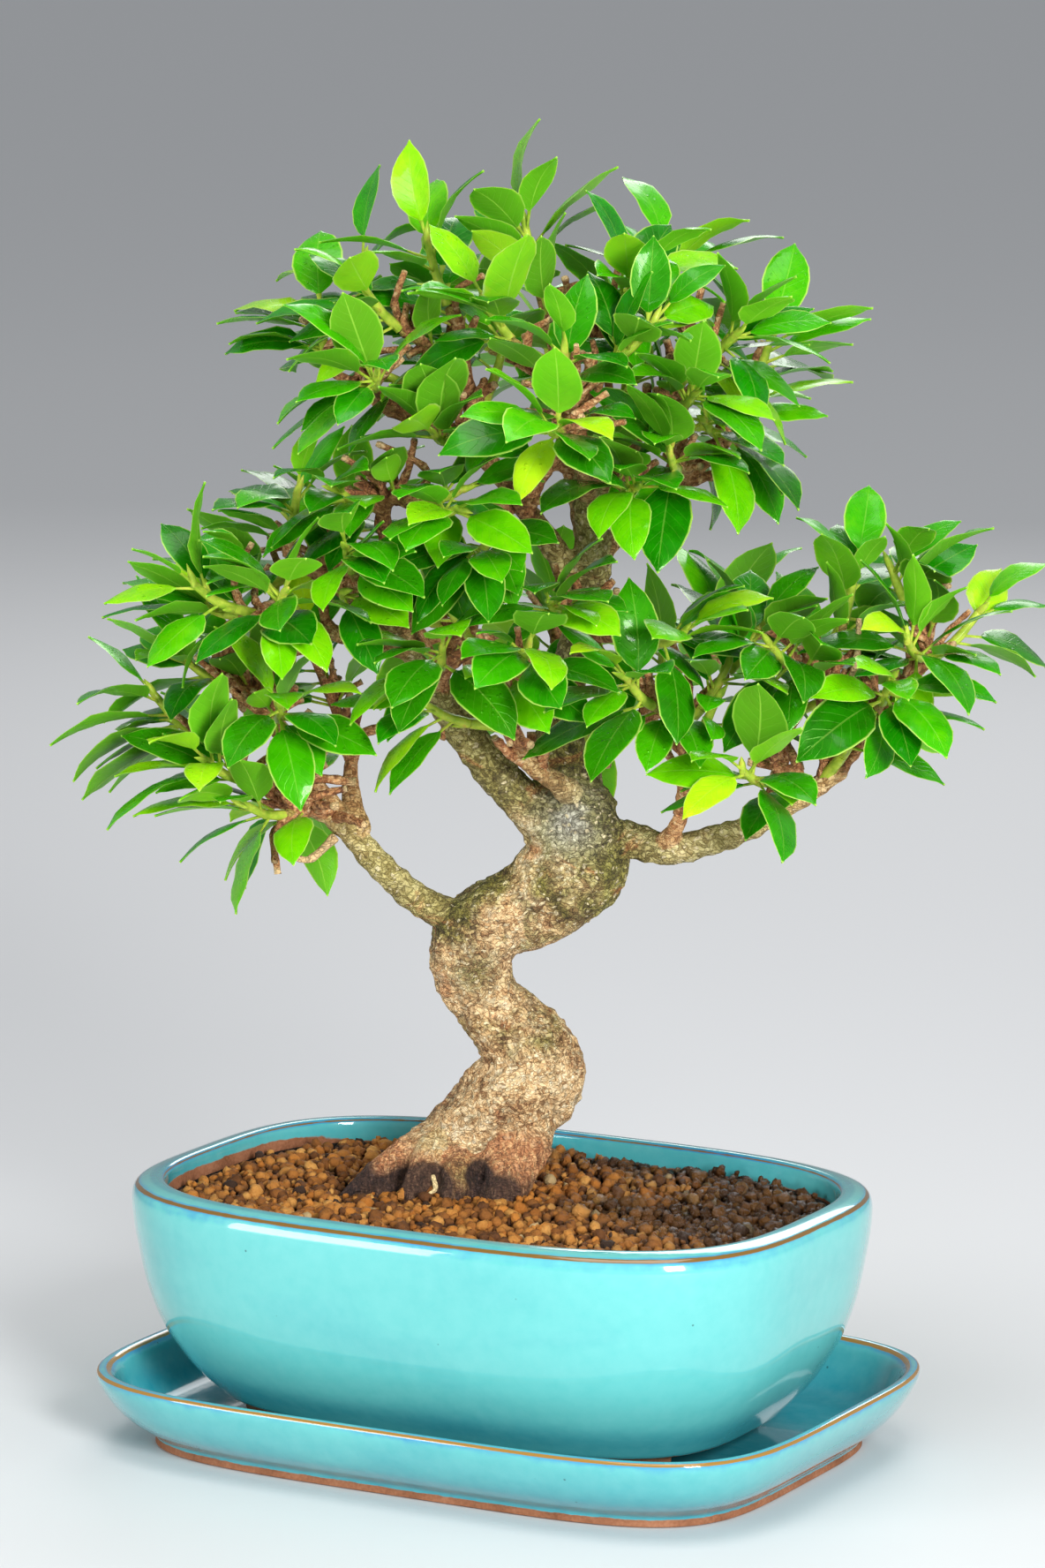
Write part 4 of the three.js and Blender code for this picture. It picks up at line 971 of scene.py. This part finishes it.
RING_ACROSS = np.array([0, 0.55, 1, 0, -1, -0.55])  # round the leaf from its upper midrib, by the right
RING_UNDER = np.array([0, 0, 0.5, 1, 0.5, 0])
STEM_SIDES = 7


def squared(v, axis):
    """The part of v that is square to the axis, made 1 long."""
    return unit(v - axis * (v @ axis))


def turned(v, axis, angle):
    """v turned about the axis: v cos a + (axis x v) sin a + axis (axis . v)(1 - cos a)."""
    return v * math.cos(angle) + np.cross(axis, v) * math.sin(angle) + axis * (axis @ v) * (1 - math.cos(angle))


def between(span, share):
    """A number part of the way through a span."""
    return span[0] + (span[1] - span[0]) * share


def leaf_at(path, share, azimuth, draw, size):
    """A leaf's place and shape, where its shoot holds it out and up."""
    root = along(path, share)[:3]
    ahead = unit(along(path, min(1, share + 0.02))[:3] - along(path, max(0, share - 0.02))[:3])
    outward = unit(np.array([root[0] - CROWN_AXIS[0], root[1] - CROWN_AXIS[1], 0]))
    side = squared(np.array([1.0, 0, 0]) if abs(ahead[2]) > 0.9 else UP, ahead)
    round_shoot = turned(side, ahead, math.radians(azimuth))
    spread = math.radians(between(LEAF_SPREAD, share) + 16 * (draw["spread"] - 0.5))
    bare = ahead * math.cos(spread) + round_shoot * math.sin(spread)
    heading = ahead if share == 1 else unit(bare + outward * 0.3 + UP * 0.08)
    above = turned(squared(UP + outward * 0.3, heading), heading, math.radians((draw["roll"] - 0.5) * 50))
    return {
        "root": root, "heading": heading, "above": above, "share": share,
        "petiole": between(LEAF["petiole"], draw["petiole"]),
        "blade": between(LEAF["blade"], draw["blade"]) * (1 - 0.2 * share * share) * size,
        "aspect": between(LEAF["aspect"], draw["aspect"]),
        "bend": math.radians(between(LEAF["bend"], draw["bend"])),
    }


def midrib(leaf, distance):
    """Points at distances from the shoot: a straight stalk, then an arc that bends down."""
    past = np.maximum(0, distance - leaf["petiole"])
    angle = (leaf["bend"] * past / leaf["blade"])[..., None]
    radius = leaf["blade"] / leaf["bend"]
    straight = np.minimum(distance, leaf["petiole"])[..., None]
    down = leaf["above"] * radius * (1 - np.cos(angle))
    at = leaf["root"] + leaf["heading"] * (straight + radius * np.sin(angle)) - down
    ahead = leaf["heading"] * np.cos(angle) - leaf["above"] * np.sin(angle)
    return at, ahead, leaf["above"] * np.cos(angle) + leaf["heading"] * np.sin(angle)


def probes(leaf):
    """Points spread over a leaf, by which leaves are kept apart."""
    at, ahead, above = midrib(leaf, leaf["petiole"] + PROBE_SHARES * leaf["blade"])
    half = 0.5 * leaf["blade"] * leaf["aspect"] * np.interp(PROBE_SHARES, *zip(*CAD_OUTLINE))
    sides = np.array([-1, -0.5, 0, 0.5, 1])
    spread = at[:, None] + np.cross(ahead, above)[:, None] * (half[:, None] * sides)[..., None]
    return np.concatenate([spread.reshape(-1, 3), midrib(leaf, np.array([0.4, 0.8]) * leaf["petiole"])[0]])


MOST_POINTS = 60000
taken = {
    "at": np.empty((MOST_POINTS, 3)), "keep": np.empty(MOST_POINTS), "owner": np.empty(MOST_POINTS, int),
    "stem": np.empty(MOST_POINTS, bool), "count": 0,
}


def take(points, keep, owner, stem):
    """Adds points that later leaves keep clear of."""
    start, stop = taken["count"], taken["count"] + len(points)
    for name, value in (("at", points), ("keep", keep), ("owner", owner), ("stem", stem)):
        taken[name][start:stop] = value
    taken["count"] = stop


def take_wood(path, owner, count):
    """Adds points along a limb, each with its radius and some room."""
    line = along(path, np.arange(count + 1) / count)
    take(line[:, :3], line[:, 3] + CLEAR["wood"], owner, True)


def is_clear(points, owner, slack=0.0):
    """Whether all of a leaf's points are far enough from what is there already."""
    n = taken["count"]
    own = taken["owner"][:n] == owner
    near = (np.linalg.norm(taken["at"][:n] - points[22], axis=1) <= CLEAR["reach"]) & ~(own & taken["stem"][:n])
    room = np.where(own, CLEAR["own_leaf"], taken["keep"][:n])[near] - slack
    gap = taken["at"][:n][near][:, None] - points
    return not (np.sqrt((gap**2).sum(-1)) < room[:, None]).any()


def try_leaf(path, share, azimuth, draw, owner, sizes, slack=0.0):
    """The first of the sizes and turns round the shoot at which a leaf is clear, if any is."""
    for size in sizes:
        for turn in LEAF_TRIES:
            leaf = leaf_at(path, share, azimuth + turn, draw, size)
            points = probes(leaf)
            if is_clear(points, owner, slack) and (slack == 0 or in_box(points)):
                take(points, CLEAR["leaf"], owner, False)
                return leaf
    return None


def in_box(points):
    """Whether points of the tree lie inside the CAD model's box."""
    placed_points = in_place(points) * MM
    low, high = np.array(cad_box[0]) + 0.001, np.array(cad_box[1]) - 0.001
    return ((placed_points > low) & (placed_points < high)).all()


def blocked(line, room):
    """Whether a line comes too near the leaves set so far, or out of the CAD model's box."""
    count = taken["count"]
    leaf_points = taken["at"][:count][~taken["stem"][:count]]
    return np.linalg.norm(leaf_points[:, None] - line, axis=-1).min() < room or not in_box(line)


take_wood(TRUNK, -1, 60)
for path in BRANCHES.values():
    take_wood(path, -1, 30)
for i, shoot in enumerate(shoots):
    take_wood(shoot["twig"], i, 9)
    take_wood(shoot["stem"], i, 6)
leaves = []
for k in range(LEAVES_PER_SHOOT - 1, -1, -1):
    for i, shoot in enumerate(shoots):
        share = LOWEST_LEAF + ((1 - LOWEST_LEAF) * k) / (LEAVES_PER_SHOOT - 1)
        draw = {name: next(shoot["roll"]) for name in LEAF_DRAWS}
        azimuth = i * 71 + k * GOLDEN_ANGLE + 30 * (draw["azimuth"] - 0.5)
        leaf = try_leaf(shoot["stem"], share, azimuth, draw, i, LEAF_SIZES)
        if leaf:
            leaves.append({**leaf, "region": shoot["region"]})

# More leaves than the solids have: on the twigs and between the others on the shoots, and on short
# side shoots from the bare stretches of the branches.
rng = np.random.default_rng(EXTRA["seed"])
stems = [(shoot["stem"], shoot["region"]) for shoot in shoots]
places = [(i, "stem", s) for i in range(len(shoots)) for s in rng.uniform(0.3, 0.9, EXTRA["on_stem"])]
places += [(i, "twig", s) for i in range(len(shoots)) for s in rng.uniform(0.35, 0.98, EXTRA["on_twig"])]
for i, part, share in places:
    draw = dict(zip(LEAF_DRAWS, rng.uniform(0, 1, len(LEAF_DRAWS))))
    leaf = try_leaf(shoots[i][part], share, rng.uniform(0, 360), draw, i, (0.9, 0.72, 0.56), EXTRA["slack"])
    if leaf:
        leaves.append({**leaf, "region": shoots[i]["region"]})
side_regions = {  # by the first word of a branch's name
    "crown": "crown", "leader": "crown", "left": "left", "low": "low_left", "front": "middle",
    "rear": "middle", "right": "right",
}
for number in range(EXTRA["shoots"]):
    name = list(BRANCHES)[rng.integers(len(BRANCHES))]
    region = side_regions[name.split("_")[0]]
    share = rng.uniform(0.45, 1.0) if len(BRANCHES[name]) < 7 else rng.uniform(0.6, 1.0)
    start = along(BRANCHES[name], share)[:3]
    outward = unit(start - (*CROWN_AXIS, start[2] - 30) + rng.normal(0, 12, 3))
    end = start + unit(outward + rng.normal(0, 0.5, 3) + UP * 0.5) * rng.uniform(12, 22)
    twig = twig_path(name, share, *end)
    roll = dice(900 + number)
    stem = shoot_path(twig, roll)
    line = np.concatenate([along(twig, np.linspace(0.3, 1, 8)), along(stem, np.linspace(0, 1, 6))])[:, :3]
    if blocked(line, EXTRA["clear"]):
        continue
    owner = len(shoots) + number
    take_wood(twig, owner, 9)
    take_wood(stem, owner, 6)
    stems += [(twig, region), (stem, region)]
    for k in range(EXTRA["leaves"]):
        draw = dict(zip(LEAF_DRAWS, rng.uniform(0, 1, len(LEAF_DRAWS))))
        at = 1 - k * 0.85 / EXTRA["leaves"]
        leaf = try_leaf(stem, at, k * GOLDEN_ANGLE, draw, owner, (0.9, 0.75, 0.6), EXTRA["slack"])
        if leaf:
            leaves.append({**leaf, "region": region})


def leaf_loops(chosen, rng):
    """Rings of six points for all the leaves at once. Across the blade a point rises by a share of
    the half width for the fold, sinks by its square for the curl and waves along the margin."""
    column = {key: np.array([leaf[key] for leaf in chosen]) for key in chosen[0] if key != "region"}
    n = len(chosen)
    petiole, blade, bend = (column[key][:, None] for key in ("petiole", "blade", "bend"))
    distance = np.concatenate([petiole * (0.02, 0.55), petiole + blade * BLADE_SHARES], axis=1)
    angle = bend * np.maximum(0, distance - petiole) / blade
    run = np.minimum(distance, petiole) + blade / bend * np.sin(angle)
    drop = blade / bend * (1 - np.cos(angle))
    heading, above = column["heading"][:, None], column["above"][:, None]
    at = column["root"][:, None] + heading * run[..., None] - above * drop[..., None]
    ahead = heading * np.cos(angle)[..., None] - above * np.sin(angle)[..., None]
    up = above * np.cos(angle)[..., None] + heading * np.sin(angle)[..., None]
    side = np.cross(ahead, up)
    half = 0.5 * blade * column["aspect"][:, None] * np.concatenate([[0, 0], BLADE_WIDTHS])
    on_blade = np.concatenate([[0.0, 0.0], np.ones(len(BLADE_SHARES))])[None, :, None]
    u = RING_ACROSS
    fold, curl = rng.uniform(0.12, 0.34, (n, 1, 1)), rng.uniform(0.08, 0.3, (n, 1, 1))
    far = np.concatenate([[0, 0], BLADE_SHARES])[None, :, None]
    wave = 0.07 * np.sin(far * rng.uniform(7, 13, (n, 1, 1)) + rng.uniform(0, 6, (n, 1, 1)) + u)
    rise = half[..., None] * (fold * abs(u) - curl * u**2 + wave * u**2)
    thickness = 0.32 - 0.25 * abs(u) - (u == 0) * RING_UNDER * 0.9
    rise = rise + np.where(abs(u) == 1, 0, thickness)
    turn = np.arange(6) * np.pi / 3
    stalk = 0.55 + 0.15 * (np.arange(len(BLADE_SHARES) + 2) == 0)
    across = np.where(on_blade > 0, half[..., None] * u, stalk[None, :, None] * np.sin(turn))
    upward = np.where(on_blade > 0, rise, stalk[None, :, None] * np.cos(turn))
    loops = at[:, :, None] + side[:, :, None] * across[..., None] + up[:, :, None] * upward[..., None]
    marks = on_blade * u, np.concatenate([[-0.6, -0.3], BLADE_SHARES])[None, :, None], RING_UNDER
    return loops, *(np.broadcast_to(values, across.shape) for values in marks)


def foliage(region, rng):
    """One region's leaves, shoots and buds in a single mesh."""
    chosen = [leaf for leaf in leaves if leaf["region"] == region]
    loops, across, along_leaf, under = leaf_loops(chosen, rng)
    n, rings, sides = loops.shape[:3]
    grid = ring_faces(rings, sides)
    cap = np.array([[5, 4, 3, 2, 1, 0]])
    tail = np.arange(6)[None] + (rings - 1) * sides
    starts = (np.arange(n) * rings * sides)[:, None, None]
    faces = [(part[None] + starts).reshape(-1, part.shape[1]) for part in (grid, cap, tail)]
    points = [in_place(loops.reshape(-1, 3))]
    marks = {"across": [across.ravel()], "along": [along_leaf.ravel()], "under": [under.ravel()]}
    share = np.array([leaf["share"] for leaf in chosen])
    size = np.array([leaf["blade"] for leaf in chosen])
    by_place = 0.55 * (share - 0.3) * rng.uniform(0, 1, n)
    young = np.clip(0.12 + by_place + 0.7 * rng.uniform(0, 1, n) ** 3.5 - (size - 26) * 0.006, 0, 1)
    marks["young"] = [np.repeat(young, rings * sides)]
    marks["tint"] = [np.repeat(rng.uniform(0, 1, n), rings * sides)]
    for stem, owner in stems:
        if owner != region:
            continue
        tip, ahead = stem[-1, :3], unit(stem[-1, :3] - stem[-2, :3])
        bud_way = unit(ahead + rng.normal(0, 0.25, 3))
        point = tip + bud_way * rng.uniform(5, 8)
        bud = np.array([(*(tip - bud_way), 1.2), (*(tip + bud_way * 2.5), 1.25), (*point, 0.12)])
        for line, spacing in ((stem, 3), (bud, 1.5)):
            tube = limb(line, STEM_SIDES, spacing, knots=0.12)
            start = sum(len(part) for part in points)
            count = tube.shape[0] * STEM_SIDES
            first = np.arange(STEM_SIDES)[None]
            closed = ring_faces(tube.shape[0], STEM_SIDES), first[:, ::-1], first + count - STEM_SIDES
            faces += [part + start for part in closed]
            points.append(in_place(tube.reshape(-1, 3)))
            for key, value in (("across", 0), ("along", -1), ("under", 0.3), ("young", 0.5), ("tint", 0.5)):
                marks[key].append(np.full(count, value))
    low, high = np.array(cad_box) / MM
    piece = mesh_piece(f"leafy_shoots_{region}", np.clip(np.concatenate(points), low, high), faces)
    piece.data.set_sharp_from_angle(angle=math.radians(75))
    mark(piece, **{key: np.concatenate(value) for key, value in marks.items()})
    return piece


# Bare twigs: the brown spurs and pruned stubs that stand among the leaves inside the crown, grown from
# the branches. They are rough, ringed with scars, and end in a pale cut or a dead tip.
DEAD_ENDS = [  # a fine root over the soil and two dead spurs
    [(-9.5, -22, 9, 0.9), (-8.5, -25, 5, 0.8), (-10.5, -27, 3.5, 0.6), (-8.5, -30, 1.5, 0.4)],
    [(-43, -9, 126, 1.6), (-51, -12, 119, 1.3), (-56, -13, 119, 1.0), (-60, -13, 120, 0.7)],
    [(134, -20, 180, 1.6), (136, -23, 192, 1.2), (136.5, -23, 204, 0.9)],
]
STUBS = {
    "count": 620, "length": (9, 26), "radius": 1.7, "clear": 1.9, "seed": 31,
    "bare": {"low_left": 0.6, "left": 0.55, "right": 0.62},
}
rng = np.random.default_rng(STUBS["seed"])
carriers = [(np.array(path, float), STUBS["bare"].get(name, 0.35)) for name, path in BRANCHES.items()]
carriers += [(shoot["twig"], 0.1) for shoot in shoots]
stub_loops, stub_radius = [], []
for _ in range(STUBS["count"]):
    path, lowest = carriers[rng.integers(len(carriers))]
    share = rng.uniform(lowest, 0.9)
    start = along(path, share)
    heading = unit(along(path, share + 0.05)[:3] - start[:3])
    way = unit(heading * 0.4 + rng.normal(0, 0.55, 3) + UP * 0.6)
    reach = rng.uniform(*STUBS["length"])
    bend = start[:3] + unit(heading * 0.6 + way + rng.normal(0, 0.2, 3)) * reach * 0.5
    tip = start[:3] + way * reach
    line = np.array([start[:3], bend, tip])
    spots = along(line, np.linspace(0.25, 1, 8))
    if blocked(spots, STUBS["clear"]):
        continue
    radius = min(STUBS["radius"], start[3] * 0.7)
    line = np.column_stack([line, radius * np.array([1.15, 0.95, 0.8])])
    tube = limb(line, STEM_SIDES, 1.7, flare=0.4, knots=0.25)
    tube += rng.normal(0, 0.1, (*tube.shape[:2], 1)) * unit(tube - tube.mean(1, keepdims=True))
    stub_loops.append(in_place(tube))
    stub_radius.append(np.repeat(np.linspace(0, 1, tube.shape[0]), STEM_SIDES))
places = np.concatenate(stub_radius)
pale = np.where(places > 0.93, 0.55, 0)
for number, path in enumerate(DEAD_ENDS):
    stub_loops.append(in_place(limb(path, 8, 0.8, knots=0.2)))
    pale = np.concatenate([pale, np.full(stub_loops[-1][..., 0].size, 0.9 if number == 0 else 0.55)])
bare_twigs = bundle("bare_twigs", stub_loops)
even = np.ones(len(pale))
for name in ("root", "tip", "crack", "hollow", "mossy", "bare_wood", "silver"):
    mark(bare_twigs, **{name: 0 * even})
mark(bare_twigs, girth=1.5 * even, twig=even, pale=pale)
finish_piece(bare_twigs, bark, "bark", "trunk")

# Leaf surface: glossy above, duller and paler below, with a thin pale midrib and margin. Young leaves
# near the tips are a bright yellow green.
leaf_skin, tree, shader, where = material("leaf")
across, lengthwise, under = layer(tree, "across"), layer(tree, "along"), layer(tree, "under")
wide = abs(across)
cloudy = noise(where, 160, 3)
age = clamped(layer(tree, "young") + cloudy * 0.3 - 0.15)
green = ramp(
    age, (0.0, paint(5, 86, 1)), (0.2, paint(20, 130, 1)), (0.42, paint(60, 168, 1)),
    (0.65, paint(120, 204, 4)), (1.0, paint(196, 240, 28)),
)
green = mixed(layer(tree, "tint") * 0.25, green, paint(84, 160, 6))
side_veins = maths("PINGPONG", lengthwise * 9.0 + wide * -2.3, 0.5)
vein = step(side_veins, 0.0, 0.09, 1, 0) * step(wide, 0.9, 0.7, 0, 1)
is_under = under > 0.501
green = mixed(vein * (is_under * 0.12 + 0.07), green, paint(140, 205, 70))
rib = step(wide, 0.012, 0.05, 1, 0)
hem = larger(step(wide, 0.9, 0.98), step(lengthwise, 0.97, 1.0))
pale = paint(186, 228, 96)
green = mixed(rib * (is_under * 0.5 + 0.16), green, pale)
green = mixed(hem * 0.8, green, pale)
below = mixed(0.48, green, paint(134, 198, 46))
colour = mixed(is_under, green, below)
is_stalk = lengthwise < 0.0
stalk = ramp(
    noise(where, 240, 3), (0.35, paint(140, 172, 48)), (0.6, paint(188, 204, 74)), (0.75, paint(200, 172, 82)),
)
colour = mixed(is_stalk, colour, stalk)
gloss = cloudy * 0.16 + larger(is_under, is_stalk) * 0.25 + 0.2
swelling = larger(vein, rib) * -0.3 + noise(where, 700, 3) * 0.3
wet = (layer(tree, "tint") > 0.7) * (is_under < 0.5)
drop = step(cells(where, 420), 0.12, 0.3, 1, 0) * (cell_draw(where, 420) > 0.6) * wet
swelling = drop * 2.0 + swelling
gloss = clamped(drop * -0.2 + gloss)
feed(
    shader, Base_Color=colour, Roughness=gloss, Coat_Weight=is_under * -0.15 + 0.2,
    Normal=relief(swelling, 0.0004, 0.5),
)
feed(
    shader, Coat_Roughness=0.08, Specular_IOR_Level=0.3, Specular_Tint=(0.5, 1.0, 0.25, 1.0),
    Subsurface_Weight=0.3, Subsurface_Radius=(0.5, 1.0, 0.15), Subsurface_Scale=0.002,
)
for number, region in enumerate(REGIONS):
    piece = foliage(region, np.random.default_rng(100 + number))
    nodes = [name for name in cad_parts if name.startswith(f"leafy_shoot_{region}_")]
    finish_piece(piece, leaf_skin, "leaf", *nodes)

# Studio: a plain pale floor, soft white light from large panels and a pale surround, and the camera
# where the photograph was taken from.
CAMERA = {
    "place": (1.01186, -1.82295, 0.57776), "turn": 28.9, "tilt": 9.43, "focal_pixels": 7000,
    "picture_height": 1776,
}
FLOOR = {"half": 3e4, "below": 0.3}
PANELS = [  # place, aimed at, width and height in metres, watts
    ((1.6, -1.3, 0.85), (0, 0, 0.2), (0.5, 0.9), 58),
    ((-1.2, -1.7, 0.4), (0, 0, 0.15), (0.7, 0.8), 17),
    ((0.1, -0.2, 2.1), (0, 0, 0.2), (1.3, 1.3), 21),
    ((-0.6, 1.9, 1.3), (0, 0, 0.3), (1.0, 0.7), 9),
]


def aimed(start, target):
    """The turn that points an object's -Z from start to target with its +Y upwards."""
    return (Vector(target) - Vector(start)).to_track_quat("-Z", "Y").to_euler()


scene = bpy.context.scene
camera = bpy.data.objects.new("camera", bpy.data.cameras.new("camera"))
camera.data.lens = camera.data.sensor_width * CAMERA["focal_pixels"] / CAMERA["picture_height"]
camera.data.clip_end = 100
camera.location = CAMERA["place"]
azimuth, elevation = math.radians(CAMERA["turn"]), math.radians(CAMERA["tilt"])
level = math.cos(elevation)
ahead = Vector((-math.sin(azimuth) * level, math.cos(azimuth) * level, -math.sin(elevation)))
camera.rotation_euler = aimed(camera.location, camera.location + ahead)
scene.collection.objects.link(camera)
scene.camera = camera
scene.view_settings.view_transform = "Standard"

for number, (place, target, (width, height), watts) in enumerate(PANELS):
    panel = bpy.data.lights.new(f"panel_{number}", "AREA")
    panel.shape = "RECTANGLE"
    panel.size, panel.size_y, panel.energy = width, height, watts
    lamp = bpy.data.objects.new(panel.name, panel)
    lamp.location = place
    lamp.rotation_euler = aimed(place, target)
    scene.collection.objects.link(lamp)

surround = bpy.data.worlds.new("surround")
surround.use_nodes = True
background = surround.node_tree.nodes["Background"]
background.inputs["Color"].default_value = paint(228, 232, 238)
background.inputs["Strength"].default_value = 0.38
scene.world = surround

corners = np.array([[-1, -1, 0], [1, -1, 0], [1, 1, 0], [-1, 1, 0]]) * FLOOR["half"] - (0, 0, FLOOR["below"])
floor = mesh_piece("floor", corners, [np.array([[0, 1, 2, 3]])])
pale, tree, shader, where = material("pale_floor")
away = node(tree, "ShaderNodeVectorMath", {0: where}, "Value", operation="LENGTH")
# Painted light: the floor is greyer near the model, where the lamps light it most, and lighter far away, where
# they light it less.
feed(shader, Base_Color=mixed(step(away, 0.5, 4.0), paint(214, 215, 216), paint(250, 250, 249)))
feed(shader, Roughness=0.7)
floor.data.materials.append(pale)
